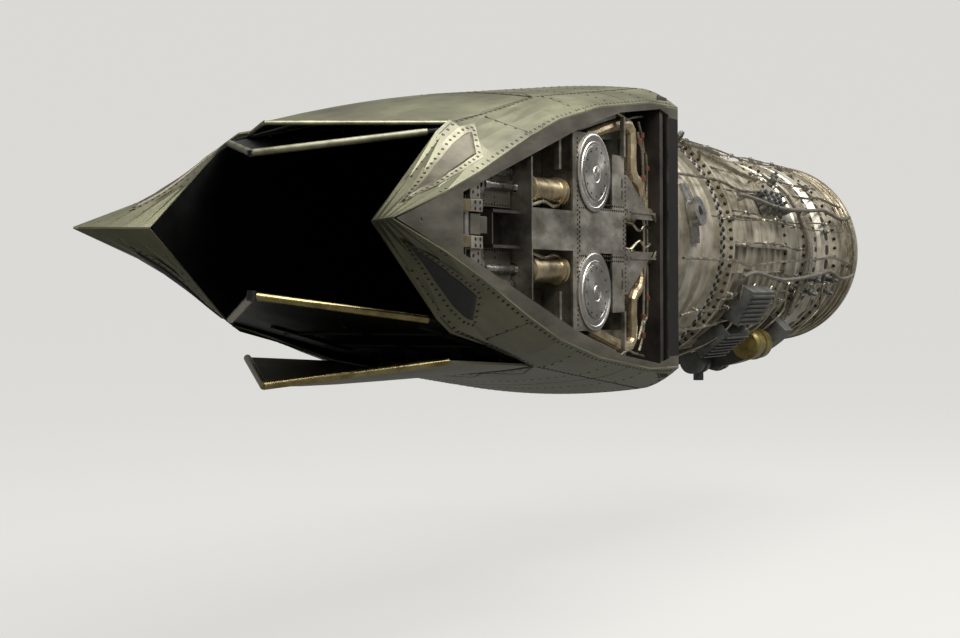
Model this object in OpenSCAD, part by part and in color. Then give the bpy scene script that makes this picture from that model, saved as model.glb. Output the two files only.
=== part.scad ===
// A twin-spool afterburning turbofan engine with a two-dimensional thrust-vectoring nozzle.
// Stations run aft from the face of the inlet flange. +X points forward, +Y to the left, +Z up.

/* [Inlet and fan] */
// Radius of the air passage at the inlet
inlet_r = 452; // [440:1:460]
// Outer radius of the inlet flange
inlet_flange_r = 498; // [492:1:510]
// Pitch radius of the inlet flange's holes
inlet_pitch_r = 482; // [476:1:486]
// Radius of the inlet flange's holes
inlet_hole_r = 4.5; // [3:0.5:6]
// Length of the inlet case
inlet_len = 322; // [310:1:360]
// Length of the fan case
fan_len = 538; // [520:1:580]
// Hub radius of the air passage at the fan's front
hub_r = 155; // [140:1:165]
// Rise of the fan's hub for each millimetre of length
hub_rise = 0.25; // [0.22:0.005:0.26]
// Gap between a blade's tip and its case
tip_gap = 4; // [2.5:0.5:6]
// Wall of the welded and cast cases
case_wall = 6; // [4:0.5:7]
// Thickness of a bolted flange
flange_t = 14; // [10:1:18]

/* [Core] */
// Length of the intermediate case
mid_len = 320; // [310:1:360]
// Length of the compressor
comp_len = 380; // [370:1:420]
// Length of the combustor
comb_len = 276; // [266:1:320]
// Length of the turbines
turb_len = 194; // [190:1:220]
// Length of the exhaust case
exh_len = 170; // [160:1:200]
// Inner radius of the core's cases
core_r = 305; // [300:1:312]
// Radius of the low-pressure shaft
low_shaft_r = 45; // [38:1:48]
// Radius of the high-pressure stub shaft
high_shaft_r = 70; // [66:1:76]
// Length of the tail cone
tail_len = 360; // [300:5:420]

/* [Ducts] */
// Length of the fan duct
duct_len = 970; // [940:1:990]
// Outer radius of the fan duct at its aft flange
duct_r = 508; // [500:1:514]
// Height of the fan duct's ribs
rib_h = 11; // [6:1:14]
// Outer radius of the augmentor duct
aug_r = 520; // [516:1:526]
// Length of the augmentor duct
aug_len = 700; // [690:1:740]
// Gap from the augmentor duct to its liner
liner_gap = 20; // [14:1:26]

/* [Nozzle body] */
// Half width over the nozzle's side frames
noz_half_w = 602; // [596:1:620]
// Half width of the exhaust passage at the sidewalls
wall_half_w = 424; // [418:1:430]
// Thickness of a sidewall
wall_t = 20; // [14:1:24]
// Length from the skins' front edge to the flap seam
skin_len = 938; // [930:1:960]
// Length from the skins' front edge to the sidewalls' aft points
side_len = 2025; // [2000:1:2050]
// Length from the skins' front edge to the outboard points
tip_len = 2191; // [2170:1:2220]
// Height of the skin's crown at its front edge
crown_h = 643; // [640:1:660]
// Drop from the crown to the skin above the sidewall, at the front edge
shoulder_drop = 30; // [24:1:38]
// Drop from the crown to the crease at the front edge
crease_drop_h = 119; // [113:1:128]
// Thickness of the skins
skin_t = 6; // [4:0.5:7]

/* [Flaps] */
// Drop from the skin's crown at its front edge to the gas face at the throat
throat_drop = 197; // [195:1:207]
// Length of a convergent flap between its hinges
conv_len = 636; // [620:1:640]
// Length of a divergent flap from its hinge to its point
div_len = 1205; // [1150:5:1230]
// Length of a divergent flap's straight side from its hinge
div_side = 762; // [720:2:780]
// Inward slope of the divergent flaps at rest, in degrees
div_angle = 10.9; // [9:0.1:11.5]
// Length of an external flap from its front edge to its point
ext_len = 1020; // [980:5:1040]
// Droop of the lower external flap at rest, in degrees
droop = 10.2; // [6:0.1:12]
// Gap at the seam in front of the external flaps
seam_gap = 22; // [21:1:28]
// Side gap between a flap and the sidewall
flap_gap = 8; // [5:1:12]
// Radius of the flap hinge pins
pin_r = 8; // [5:0.5:8]

/* [Side bay] */
// Depth of the side panel below the side frame
panel_in = 20; // [16:1:24]
// Radius of the turned pivot covers
cover_r = 141; // [125:1:144]
// Height of the pivot covers' centres above and below the axis
cover_z = 215; // [205:1:220]
// Radius of the flap actuators' barrels
barrel_r = 44; // [36:1:48]
// Height of the actuators above and below the axis
barrel_z = 138; // [130:1:150]
// Radius of the actuators' rods
rod_r = 15; // [10:1:18]
// Outer radius of the air ducts in the bay
air_r = 25; // [18:1:27]

/* [Accessories] */
// Inner radius of the accessory gearbox
gearbox_r = 492; // [490:1:500]
// Depth of the accessory gearbox
gearbox_d = 118; // [100:1:140]
// Length of the accessory gearbox
gearbox_len = 130; // [110:1:150]
// Radius of the tower shaft
tower_r = 14; // [10:1:16]
// Radius of the generator
generator_r = 74; // [60:1:80]
// Radius of the fuel pump
pump_r = 62; // [50:1:70]
// Radius of the side mounts' bores
mount_bore_r = 22; // [16:1:26]
// Radius of the top lugs' bores
lug_bore_r = 9; // [6:0.5:10]

/* [Hidden] */

// Stations of the joints between the modules
s_fan = inlet_len;
s_mid = s_fan + fan_len;
s_core = s_mid + mid_len;
s_comb = s_core + comp_len;
s_turb = s_comb + comb_len;
s_exh = s_turb + turb_len;
s_cone = s_exh + exh_len;
s_aug = s_core + duct_len;
s_trans = s_aug + aug_len;
s_noz = s_trans + 115;
s_seam = s_noz + skin_len;
s_throat = s_noz + 871;
s_conv = s_throat - conv_len;
s_bulk = s_conv - 95;

// Heights in the nozzle that follow the skin's crown
shoulder_h = crown_h - shoulder_drop;
crease_h = crown_h - crease_drop_h;
throat_h = crown_h - throat_drop;
panel_half_h = crease_h - 169;

// Clearances: a seat, a running fit and a free gap
seat = 0.3;
fit = 0.05;
turn_fn = 96;
small_fn = 32;
bulk_t = 30;
core_wall = 8;
bearing_w = 30;
flap_half_w = wall_half_w - flap_gap;
hinge_up = 22;
plate_t = 8;
knuckle_r = pin_r + 4;
knuckle_w = 50;
knuckle_y = [-300, -100, 100, 300];
ext_knuckle_y = [-170, 0, 170];
ext_knuckle_w = 40;
ext_axis_h = crown_h - 159;
ext_axis_s = s_seam + seam_gap;
frame_t = 8;
cover_s = s_noz + 773;
web_s = [s_noz + 501, s_noz + 930, s_noz + 1287];
web_t = 8;

// Local z runs aft along the engine's axis, local x points up and local y to the left.
module about_axis() {
    rotate([0, -90, 0]) children();
}

module turned(points, fn = turn_fn) {
    about_axis() rotate_extrude($fn = fn) polygon(points);
}

// Copies round the engine's axis, each child drawn with its radius along x and its station along z.
module around(count, phase = 0) {
    for (i = [0:count - 1]) about_axis() rotate([0, 0, phase + i * 360 / count]) children();
}

// Local x is the station, so it is turned to run aft.
module aft() {
    mirror([1, 0, 0]) children();
}

module both_sides() {
    children();
    mirror([0, 1, 0]) children();
}

module above_and_below() {
    children();
    mirror([0, 0, 1]) children();
}

// Extrudes a (y, z) outline forward along the station.
module cross_plate(t) {
    rotate([90, 0, 90]) linear_extrude(t) children();
}

// Extrudes a (station, z) outline outward along y, from y0.
module side_plate(y0, t) {
    translate([0, y0 + t, 0]) rotate([90, 0, 0]) linear_extrude(t) children();
}

// The points of a route with its corners rounded over a third of each leg.
function rounded_route(p) = len(p) < 3 ? p : concat([p[0]],
    [for (i = [1:len(p) - 2]) for (k = [0:2]) let (a = p[i] + (p[i - 1] - p[i]) * 0.35,
        b = p[i] + (p[i + 1] - p[i]) * 0.35, t = k / 2)
        a * (1 - t) * (1 - t) + p[i] * 2 * t * (1 - t) + b * t * t], [p[len(p) - 1]]);

function unit(v) = v / norm(v);
function tangent(p, i) = i == 0 ? unit(p[1] - p[0]) :
    i == len(p) - 1 ? unit(p[i] - p[i - 1]) : unit(unit(p[i] - p[i - 1]) + unit(p[i + 1] - p[i]));

// A round tube swept along a route with a fixed side vector that is never along the route.
module swept(route, r, up = [0, 0, 1], sides = 8) {
    p = rounded_route(route);
    n = len(p);
    rings = [for (i = [0:n - 1]) let (t = tangent(p, i), a = unit(cross_of(t, up)), b = cross_of(a, t))
        for (k = [0:sides - 1]) p[i] + a * r * cos(360 * k / sides) + b * r * sin(360 * k / sides)];
    polyhedron(points = rings, faces = concat(
        [[for (k = [0:sides - 1]) sides - 1 - k]],
        [[for (k = [0:sides - 1]) (n - 1) * sides + k]],
        [for (i = [0:n - 2], k = [0:sides - 1]) each let (a = i * sides + k, b = i * sides + (k + 1) % sides)
            [[a, b, b + sides], [a, b + sides, a + sides]]]));
}

function cross_of(a, b) = [a[1] * b[2] - a[2] * b[1], a[2] * b[0] - a[0] * b[2], a[0] * b[1] - a[1] * b[0]];

// A closed sheet between a grid of top points and a grid of bottom points; rows run aft, columns to +y.
module sheet(top, bottom) {
    rows = len(top);
    cols = len(top[0]);
    n = rows * cols;
    all = concat([for (r = top) each r], [for (r = bottom) each r]);
    polyhedron(points = all, faces = concat(
        [for (i = [0:rows - 2], j = [0:cols - 2]) each let (a = i * cols + j, b = a + 1, c = a + cols + 1, d = a + cols)
            [[a, c, b], [a, d, c], [n + a, n + b, n + c], [n + a, n + c, n + d]]],
        [for (j = [0:cols - 2]) each let (a = j, b = j + 1) [[a, n + b, n + a], [a, b, n + b]]],
        [for (j = [0:cols - 2]) each let (a = (rows - 1) * cols + j, b = a + 1) [[a, n + a, n + b], [a, n + b, b]]],
        [for (i = [0:rows - 2]) each let (a = i * cols, d = a + cols) [[a, n + d, d], [a, n + a, n + d]]],
        [for (i = [0:rows - 2]) each let (a = i * cols + cols - 1, d = a + cols) [[a, d, n + d], [a, n + d, n + a]]]));
}

// The fan's hub line.
function hub(s) = hub_r + (s - s_fan) * hub_rise;

// The outline of a blade: a thin lens along the chord, bent by its camber and turned by its stagger.
function blade_points(chord, thick, camber, stagger) = [for (k = [0:7])
    let (u = k < 4 ? k / 4 : (8 - k) / 4, side = k < 4 ? 1 : -1,
        x = (u - 0.5) * chord, y = camber * 4 * u * (1 - u) + side * thick * 2 * u * (1 - u))
    [x * cos(stagger) - y * sin(stagger), x * sin(stagger) + y * cos(stagger)]];

module blade_row(count, s, r0, r1, chord, thick, camber, stagger, phase = 0) {
    around(count, phase) translate([r0, 0, s]) rotate([0, 90, 0])
        linear_extrude(r1 - r0) polygon(blade_points(chord, thick, camber, stagger));
}

module inlet_case() {
    flange_holes = 36;
    vane_s = inlet_len - 66;
    color("silver") {
        difference() {
            turned([[inlet_r, 0], [inlet_flange_r, 0], [inlet_flange_r, flange_t],
                [inlet_r + case_wall, flange_t], [inlet_r + case_wall, 60], [inlet_r + 24, 60],
                [inlet_r + 24, 68], [inlet_r + case_wall, 68], [inlet_r + case_wall, 150],
                [inlet_r + 22, 150], [inlet_r + 22, 158], [inlet_r + case_wall, 158],
                [inlet_r + case_wall, 236], [inlet_r + 26, 236], [inlet_r + 26, 246],
                [inlet_r + case_wall, 246], [inlet_r + case_wall, inlet_len - flange_t],
                [inlet_r + 28, inlet_len - flange_t], [inlet_r + 28, inlet_len], [inlet_r, inlet_len]]);
            around(flange_holes, 5) translate([inlet_pitch_r, 0, -1]) cylinder(r = inlet_hole_r, h = flange_t + 2);
        }
        turned([[hub_r - 42, 200], [hub_r, 200], [hub_r, inlet_len - 6], [hub_r - 8, inlet_len - 6],
            [hub_r - 8, 262], [75, 262], [75, 275], [low_shaft_r + 22 + fit, 275], [low_shaft_r + 22 + fit, 225],
            [75, 225], [75, 250], [hub_r - 8, 250], [hub_r - 8, 210], [hub_r - 42, 210]]);
        blade_row(15, vane_s, hub_r - 4, inlet_r + 3, 92, 11, 0, 0);
    }
}

module nose_cone() {
    length = 170;
    base_s = 199.7;
    color("gray") turned(concat([[0, base_s]], [[hub_r, base_s]],
        [for (k = [1:10]) [hub_r * cos(9 * k), base_s - length * sin(9 * k)]]));
}

module fan_case() {
    big_s = s_fan + 176;
    small_s = s_fan + 372;
    shell_r = inlet_r + case_wall;
    color("silver") difference() {
        turned([[inlet_r, s_fan], [inlet_r + 28, s_fan], [inlet_r + 28, s_fan + flange_t], [shell_r, s_fan + flange_t],
            [shell_r, s_fan + 80], [shell_r + 14, s_fan + 80], [shell_r + 14, s_fan + 90], [shell_r, s_fan + 90],
            [shell_r, big_s], [shell_r + 22, big_s + 16], [shell_r + 32, big_s + 40], [shell_r + 32, big_s + 96],
            [shell_r + 20, big_s + 128], [shell_r, big_s + 140], [shell_r, small_s], [shell_r + 20, small_s],
            [shell_r + 20, small_s + 62], [shell_r, small_s + 62], [shell_r, s_mid - flange_t],
            [inlet_r + 24, s_mid - flange_t], [inlet_r + 24, s_mid], [inlet_r, s_mid]]);
        around(40) translate([shell_r + 19, -26, big_s + 48]) cube([30, 52, 34]);
        around(56) translate([shell_r + 8, -13, small_s + 16]) cube([30, 26, 26]);
    }
}

// A row of vanes between an outer band and an inner shroud.
module vane_ring(s0, s1, r0, count, outer_r, stagger) {
    mid = (s0 + s1) / 2;
    turned([[outer_r - 5, s0], [outer_r, s0], [outer_r, s1], [outer_r - 5, s1]]);
    turned([[r0, s0], [r0 + 6, s0], [r0 + 6 + (s1 - s0) * hub_rise, s1], [r0 + (s1 - s0) * hub_rise, s1]]);
    blade_row(count, mid, r0 + 4 + (s1 - s0) * hub_rise, outer_r - 3, (s1 - s0) * 0.82, 7, 4, stagger);
}

module fan_stators() {
    color("silver") {
        vane_ring(s_fan + 146, s_fan + 202, hub(s_fan + 146) - 8, 22, inlet_r - seat, -18);
        vane_ring(s_fan + 312, s_fan + 362, hub(s_fan + 312) - 8, 26, inlet_r - seat, -18);
        vane_ring(s_fan + 462, s_fan + 522, hub(s_fan + 462) - 8, 30, inlet_r - seat, -12);
    }
}

// A bladed disc: rim on the hub line, web, ring at its bore and drum arms to its neighbours.
module bladed_disc(s0, s1, arm0, arm1, bore, count, chord, stagger) {
    w = (s0 + s1) / 2;
    turned([[hub(arm0) - 18, arm0], [hub(s0) - 18, s0], [hub(s0), s0], [hub(s1), s1], [hub(s1) - 18, s1],
        [hub(arm1) - 18, arm1], [hub(arm1) - 28, arm1], [hub(w) - 28, w + 7], [bore + 26, w + 7], [bore + 22, w + 16],
        [bore, w + 16], [bore, w - 16], [bore + 22, w - 16], [bore + 26, w - 7], [hub(w) - 28, w - 7],
        [hub(arm0) - 28, arm0]]);
    blade_row(count, w, hub(s0) - 12, inlet_r - tip_gap, chord, 9, 7, stagger);
}

module fan_stage_1() {
    color("silver") bladed_disc(s_fan + 23, s_fan + 128, s_fan + 23, s_fan + 170, low_shaft_r + 30, 18, 112, 38);
}

module fan_stage_2() {
    color("silver") bladed_disc(s_fan + 218, s_fan + 298, s_fan + 170, s_fan + 335, low_shaft_r + seat, 22, 88, 38);
}

module fan_stage_3() {
    color("silver") bladed_disc(s_fan + 376, s_fan + 446, s_fan + 335, s_fan + 446, low_shaft_r + 30, 26, 78, 36);
}

module low_shaft() {
    hub_face = s_fan + 274;
    color("gray") turned([[low_shaft_r - 12, s_fan - 110], [low_shaft_r, s_fan - 110], [low_shaft_r, hub_face],
        [low_shaft_r + 7, hub_face], [low_shaft_r + 7, hub_face + 12], [low_shaft_r, hub_face + 12],
        [low_shaft_r, s_exh - 72], [low_shaft_r + 7, s_exh - 72], [low_shaft_r + 7, s_exh - 60],
        [low_shaft_r, s_exh - 60], [low_shaft_r, s_exh + 104], [low_shaft_r - 12, s_exh + 104]]);
}

// A turbine wheel: rim, web, bore ring and blades.
module turbine_wheel(s0, s1, rim_r, bore, count, stagger) {
    w = (s0 + s1) / 2;
    turned([[rim_r, s0], [rim_r, s1], [rim_r - 16, s1], [rim_r - 22, w + 8], [bore + 40, w + 8], [bore + 30, w + 18],
        [bore, w + 18], [bore, w - 18], [bore + 30, w - 18], [bore + 40, w - 8], [rim_r - 22, w - 8], [rim_r - 16, s0]]);
    blade_row(count, w, rim_r - 6, core_r - tip_gap, (s1 - s0) * 1.02, 9, 9, stagger);
}

module low_turbine() {
    color("gray") turbine_wheel(s_exh - 70, s_exh - 14, 218, low_shaft_r + seat, 24, -30);
}

module intermediate_case() {
    hub0 = hub(s_mid) + 2;
    split = core_r + 45;
    color("silver") difference() {
        union() {
            turned([[inlet_r, s_mid], [inlet_r + 24, s_mid], [inlet_r + 24, s_mid + flange_t],
                [inlet_r + case_wall, s_mid + flange_t], [inlet_r + case_wall, s_mid + 90], [inlet_r + 14, s_mid + 96],
                [inlet_r + 14, s_mid + 108], [inlet_r + case_wall, s_mid + 114], [inlet_r + case_wall, s_core - flange_t],
                [inlet_r + 26, s_core - flange_t], [inlet_r + 26, s_core], [inlet_r, s_core]]);
            turned([[split, s_mid + 22], [split + 10, s_mid + 72], [split + 20, s_core], [split + 14, s_core],
                [split + 3, s_mid + 76], [split - 6, s_mid + 76], [core_r + 6, s_core], [core_r, s_core],
                [split - 12, s_mid + 70]]);
            turned([[hub0, s_mid + 2], [hub0 + 2, s_mid + 42], [217, s_core - 8], [209, s_core - 8],
                [218, s_core - 34], [high_shaft_r + 34, s_core - 22], [high_shaft_r + 26 + fit, s_core - 12],
                [high_shaft_r + 26 + fit, s_core - 44], [high_shaft_r + 34, s_core - 44], [high_shaft_r + 34, s_core - 34],
                [219, s_core - 46], [262, s_mid + 112], [low_shaft_r + 40, s_mid + 112], [low_shaft_r + 40, s_mid + 132],
                [low_shaft_r + 22 + fit, s_mid + 132], [low_shaft_r + 22 + fit, s_mid + 92],
                [low_shaft_r + 40, s_mid + 92], [low_shaft_r + 40, s_mid + 100], [266, s_mid + 100],
                [hub0 - 6, s_mid + 44], [hub0 - 8, s_mid + 2]]);
            blade_row(8, s_mid + 112, 268, inlet_r + 3, 150, 24, 0, 0, 22.5);
            around(1, 180) translate([226, 0, s_tower]) rotate([0, 90, 0])
                cylinder(r = tower_r + 9, h = inlet_r + 12 - 226, $fn = small_fn);
        }
        around(1, 180) translate([200, 0, s_tower]) rotate([0, 90, 0])
            cylinder(r = tower_r + 4, h = inlet_r, $fn = small_fn);
    }
}

// The bevel pair that drives the tower shaft: pitch radii, teeth and the point where the shafts cross
gear_pitch = 96;
pinion_pitch = 48;
gear_teeth = 32;
pinion_teeth = 16;
gear_face = 24;
addendum = 2.6;
dedendum = 3.6;
slot_w = 11.2;
s_tower = s_core - 120;

// A straight bevel gear with its pitch cone's apex at the origin and its back at +z.
module bevel_gear(pitch, mate, teeth, bore, phase) {
    cone = norm([pitch, mate]);
    across = [mate, -pitch] / cone;
    along = [pitch, mate] / cone;
    inner = along * (cone - gear_face);
    outer = along * cone;
    difference() {
        rotate_extrude($fn = turn_fn) polygon([inner + across * addendum, outer + across * addendum,
            outer - across * 12, [bore, outer[1] + 14], [bore, inner[1] - 4], inner - across * 10]);
        for (i = [0:teeth - 1]) rotate([0, 0, phase + i * 360 / teeth]) translate([inner[0], 0, inner[1]])
            rotate([0, -atan2(mate, pitch), 0]) translate([-8, -slot_w / 2, -addendum - 8])
                cube([gear_face + 16, slot_w, addendum + 8 + dedendum]);
    }
}

module compressor_rotor() {
    rim0 = 214;
    rim1 = 262;
    pitch = (comp_len - 18) / 6;
    color("gray") {
        turned([[high_shaft_r - 18, s_core - 66], [high_shaft_r, s_core - 66], [high_shaft_r, s_core - 10],
            [rim0, s_core + 5], [rim1, s_comb + 2], [high_shaft_r + 20, s_comb + 74], [high_shaft_r + 20, s_comb + 86],
            [high_shaft_r - 18, s_comb + 86], [high_shaft_r - 18, s_comb + 74], [rim1 - 16, s_comb - 8],
            [rim0 - 11, s_core + 20], [high_shaft_r - 8, s_core + 4], [high_shaft_r - 18, s_core + 4]]);
        for (i = [0:5]) blade_row(18, s_core + 20 + pitch * i, rim0 - 6 + 8 * i, core_r - 4 - tip_gap, 28, 4, 3, 35, 5 * i);
        about_axis() translate([0, 0, s_tower])
            bevel_gear(gear_pitch, pinion_pitch, gear_teeth, high_shaft_r - 12, 180 / gear_teeth);
    }
}

module tower_shaft() {
    top = 62;
    bottom = gearbox_r + 40;
    color("gray") translate([-s_tower, 0, 0]) mirror([0, 0, 1]) {
        bevel_gear(pinion_pitch, gear_pitch, pinion_teeth, 0, 0);
        translate([0, 0, gear_pitch + 8]) cylinder(r = tower_r, h = bottom - gear_pitch - 8, $fn = small_fn);
        translate([0, 0, top]) cylinder(r = tower_r, h = 20, $fn = small_fn);
    }
}

module compressor_case() {
    pitch = (comp_len - 18) / 6;
    out = core_r + core_wall;
    color("silver") {
        turned([[core_r, s_core], [out + 18, s_core], [out + 18, s_core + 10], [out, s_core + 10],
            [out, s_core + 120], [out + 8, s_core + 120], [out + 8, s_core + 132], [out, s_core + 132],
            [out, s_core + 250], [out + 8, s_core + 250], [out + 8, s_core + 262], [out, s_core + 262],
            [out, s_comb - 10], [out + 18, s_comb - 10], [out + 18, s_comb], [core_r, s_comb]]);
        for (i = [0:5]) blade_row(16, s_core + 49 + pitch * i, 224 + 8 * i, core_r + 3, 24, 4, 3, -30, 6 * i);
    }
}

module high_turbine() {
    disc_s = s_turb + 68;
    color("gray") {
        turned([[high_shaft_r - 18, s_comb + 86], [high_shaft_r + 20, s_comb + 86], [high_shaft_r + 20, s_comb + 98],
            [high_shaft_r, s_comb + 98], [high_shaft_r, disc_s - 10], [high_shaft_r - 18, disc_s - 10]]);
        turbine_wheel(disc_s - 24, disc_s + 24, 222, high_shaft_r - 18, 24, 30);
    }
}

module diffuser_case() {
    out = core_r + core_wall;
    inner = 150;
    house = high_shaft_r + 26 + fit;
    end = s_turb + 10;
    color("silver") difference() {
        union() {
            turned([[core_r, s_comb], [out + 18, s_comb], [out + 18, s_comb + 10], [out + 2, s_comb + 10],
                [out + 8, s_comb + 60], [out + 8, s_turb - 40], [out, s_turb - 10], [out + 20, s_turb - 10],
                [out + 20, s_turb], [core_r, s_turb], [core_r, s_turb - 30], [core_r + 6, s_comb + 60]]);
            turned([[266, s_comb + 4], [268, s_comb + 10], [inner + 6, s_comb + 90], [inner + 6, end], [house + 6, end],
                [house + 6, end - 8], [house, end - 8], [house, end - 44], [house + 6, end - 44],
                [house + 6, end - 12], [inner, end - 12], [inner, s_comb + 88], [260, s_comb + 9]]);
            blade_row(12, s_comb + 22, 262, core_r + 3, 34, 6, 0, 0);
        }
        around(18) translate([core_r - 8, 0, s_comb + 52]) rotate([0, 90, 0]) cylinder(r = 6.5, h = 40, $fn = small_fn);
    }
}

// Radius of the swirler holes in the combustor's dome
swirl_r = 13;

module combustor_liner() {
    front = s_comb + 68;
    back = s_turb + 4 - seat;
    color("tan") difference() {
        turned([[205, front], [268, front], [285, front + 24], [288, back - 60], [284, back], [281, back],
            [285, back - 60], [282, front + 26], [266, front + 4], [207, front + 4], [193, front + 26],
            [190, back - 60], [207, back], [204, back], [187, back - 60], [190, front + 24]]);
        around(18) translate([237, 0, front - 5]) cylinder(r = swirl_r, h = 14, $fn = small_fn);
    }
}

module fuel_nozzles() {
    s = s_comb + 52;
    ring_r = core_r + core_wall + 27;
    color("gray") {
        around(18) {
            translate([core_r + core_wall + 8 + seat, 0, s]) rotate([0, 90, 0]) cylinder(r = 16, h = 5, $fn = small_fn);
            translate([228, 0, s]) rotate([0, 90, 0]) cylinder(r = 5, h = ring_r - 228, $fn = small_fn);
            translate([237, 0, s - 6]) cylinder(r = swirl_r - seat, h = 26, $fn = small_fn);
        }
        about_axis() translate([0, 0, s]) rotate_extrude($fn = turn_fn) translate([ring_r, 0])
            circle(r = 7, $fn = small_fn);
    }
}

module turbine_nozzle() {
    s0 = s_turb + 4;
    s1 = s_turb + 40;
    color("tan") {
        turned([[core_r - 8, s0], [core_r - seat, s0], [core_r - seat, s1], [core_r - 8, s1]]);
        turned([[206, s0], [214, s0], [226, s1], [218, s1]]);
        blade_row(20, (s0 + s1) / 2, 216, core_r - 6, 34, 9, 6, 30);
    }
}

module turbine_case() {
    out = core_r + core_wall;
    color("silver") turned([[core_r, s_turb], [out + 20, s_turb], [out + 20, s_turb + 10], [out, s_turb + 10],
        [out, s_turb + 90], [out + 10, s_turb + 94], [out + 10, s_turb + 104], [out, s_turb + 108],
        [out, s_exh - 10], [out + 20, s_exh - 10], [out + 20, s_exh], [core_r, s_exh]]);
}

module exhaust_case() {
    out = core_r + core_wall;
    hub_out = 200;
    house = low_shaft_r + 22 + fit;
    color("silver") {
        turned([[core_r, s_exh], [out + 20, s_exh], [out + 20, s_exh + 10], [out, s_exh + 10], [out, s_cone - 8],
            [out + 6, s_cone], [core_r, s_cone]]);
        turned([[hub_out - 8, s_exh + 2], [hub_out, s_exh + 2], [hub_out, s_cone], [hub_out - 40, s_cone],
            [hub_out - 40, s_cone - 8], [hub_out - 8, s_cone - 8], [hub_out - 8, s_exh + 92], [house + 8, s_exh + 92],
            [house + 8, s_exh + 100], [house, s_exh + 100], [house, s_exh + 60], [house + 8, s_exh + 60],
            [house + 8, s_exh + 80], [hub_out - 8, s_exh + 80]]);
        blade_row(10, s_exh + 84, hub_out - 3, core_r + 3, 110, 18, 0, 0);
    }
}

module tail_cone() {
    r0 = 200;
    steps = 10;
    color("tan") turned(concat([for (k = [0:steps]) [r0 * cos(90 * k / steps), s_cone + tail_len * sin(90 * k / steps)]],
        [for (k = [steps:-1:0]) [(r0 - 6) * cos(90 * k / steps), s_cone + (tail_len - 8) * sin(90 * k / steps)]]));
}

module bearing_ring(shaft_r, s, w) {
    turned([[shaft_r + fit, s], [shaft_r + 22, s], [shaft_r + 22, s + w], [shaft_r + fit, s + w]]);
}

module main_bearings() {
    color("gray") {
        bearing_ring(low_shaft_r, 234, bearing_w);
        bearing_ring(low_shaft_r, s_mid + 98, bearing_w);
        bearing_ring(low_shaft_r, s_exh + 64, bearing_w);
        turned([[high_shaft_r + fit, s_core - 42], [high_shaft_r + 26, s_core - 42], [high_shaft_r + 26, s_core - 16],
            [high_shaft_r + fit, s_core - 16]]);
        turned([[high_shaft_r + fit, s_turb - 30], [high_shaft_r + 26, s_turb - 30], [high_shaft_r + 26, s_turb],
            [high_shaft_r + fit, s_turb]]);
    }
}

// Outer radius of the fan duct's shell.
function duct_shell_r(s) = lookup(s, [[s_core, inlet_r + 10], [s_core + 320, duct_r - 18], [s_aug, duct_r]]);

// Stations of the duct's hoop ribs.
duct_rings = [for (k = [1:7]) s_core + 30 + k * (duct_len - 60) / 8];

// Half of the ribbed fan duct, above the split line.
module fan_duct_half() {
    stations = [s_core, s_core + 320, s_aug];
    box = 2 * (aug_r + 60);
    difference() {
        union() {
            turned([[inlet_r, s_core], [inlet_r + 26, s_core], [inlet_r + 26, s_core + flange_t],
                [duct_shell_r(s_core + flange_t), s_core + flange_t],
                [duct_shell_r(stations[1]), stations[1]], [duct_shell_r(s_aug - flange_t), s_aug - flange_t],
                [aug_r + 24, s_aug - flange_t], [aug_r + 24, s_aug], [duct_r - case_wall, s_aug],
                [duct_shell_r(stations[1]) - case_wall, stations[1]]]);
            for (s = duct_rings) turned([[duct_shell_r(s) - 3, s - 3], [duct_shell_r(s) + rib_h, s - 3],
                [duct_shell_r(s) + rib_h, s + 3], [duct_shell_r(s) - 3, s + 3]]);
            for (a = [-75:15:75]) about_axis() rotate([0, 0, a]) duct_rib();
        }
        translate([-s_aug - 10, -box / 2, -box]) cube([duct_len + 20, box, box]);
    }
    both_sides() translate([-(s_aug - flange_t), 0, 0]) split_rail();
}

// A straight rib along the duct, drawn on the meridian plane.
module duct_rib() {
    s0 = s_core + flange_t;
    s1 = s_core + 320;
    s2 = s_aug - flange_t;
    rotate([90, 0, 0]) translate([0, 0, -2]) linear_extrude(4) polygon([
        [duct_shell_r(s0) - 2, s0 - 1], [duct_shell_r(s0) + rib_h - 2, s0 - 1], [duct_shell_r(s1) + rib_h - 2, s1],
        [duct_shell_r(s2) + rib_h - 2, s2 + 1], [duct_shell_r(s2) - 2, s2 + 1], [duct_shell_r(s1) - 2, s1]]);
}

// The bolting rail along the split line, on the left side.
module split_rail() {
    run = duct_len - 2 * flange_t;
    linear_extrude(12) polygon([[0, duct_shell_r(s_aug) - 4], [run * 0.66, duct_shell_r(s_core + 320) - 4],
        [run, duct_shell_r(s_core) - 4], [run, duct_shell_r(s_core) + 22],
        [run * 0.66, duct_shell_r(s_core + 320) + 18], [0, duct_shell_r(s_aug) + 22]]);
}

module fan_duct_upper() {
    color("silver") fan_duct_half();
}

module fan_duct_lower() {
    color("silver") mirror([0, 0, 1]) fan_duct_half();
}

module flame_holder() {
    s0 = s_aug + 90;
    ring_r = 350;
    out = aug_r - case_wall;
    color("tan") {
        turned([[out - 12, s0 - 10], [out - seat, s0 - 10], [out - seat, s0 + 60], [out - 12, s0 + 60]]);
        turned([[ring_r, s0 + 20], [ring_r + 22, s0 + 70], [ring_r + 18, s0 + 72], [ring_r, s0 + 30],
            [ring_r - 18, s0 + 72], [ring_r - 22, s0 + 70]]);
        around(16) translate([215, 0, s0 + 50]) rotate([0, 90, 0]) linear_extrude(out - 9 - 215)
            polygon([[50, 0], [0, 14], [0, 10], [38, 0], [0, -10], [0, -14]]);
    }
}

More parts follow.
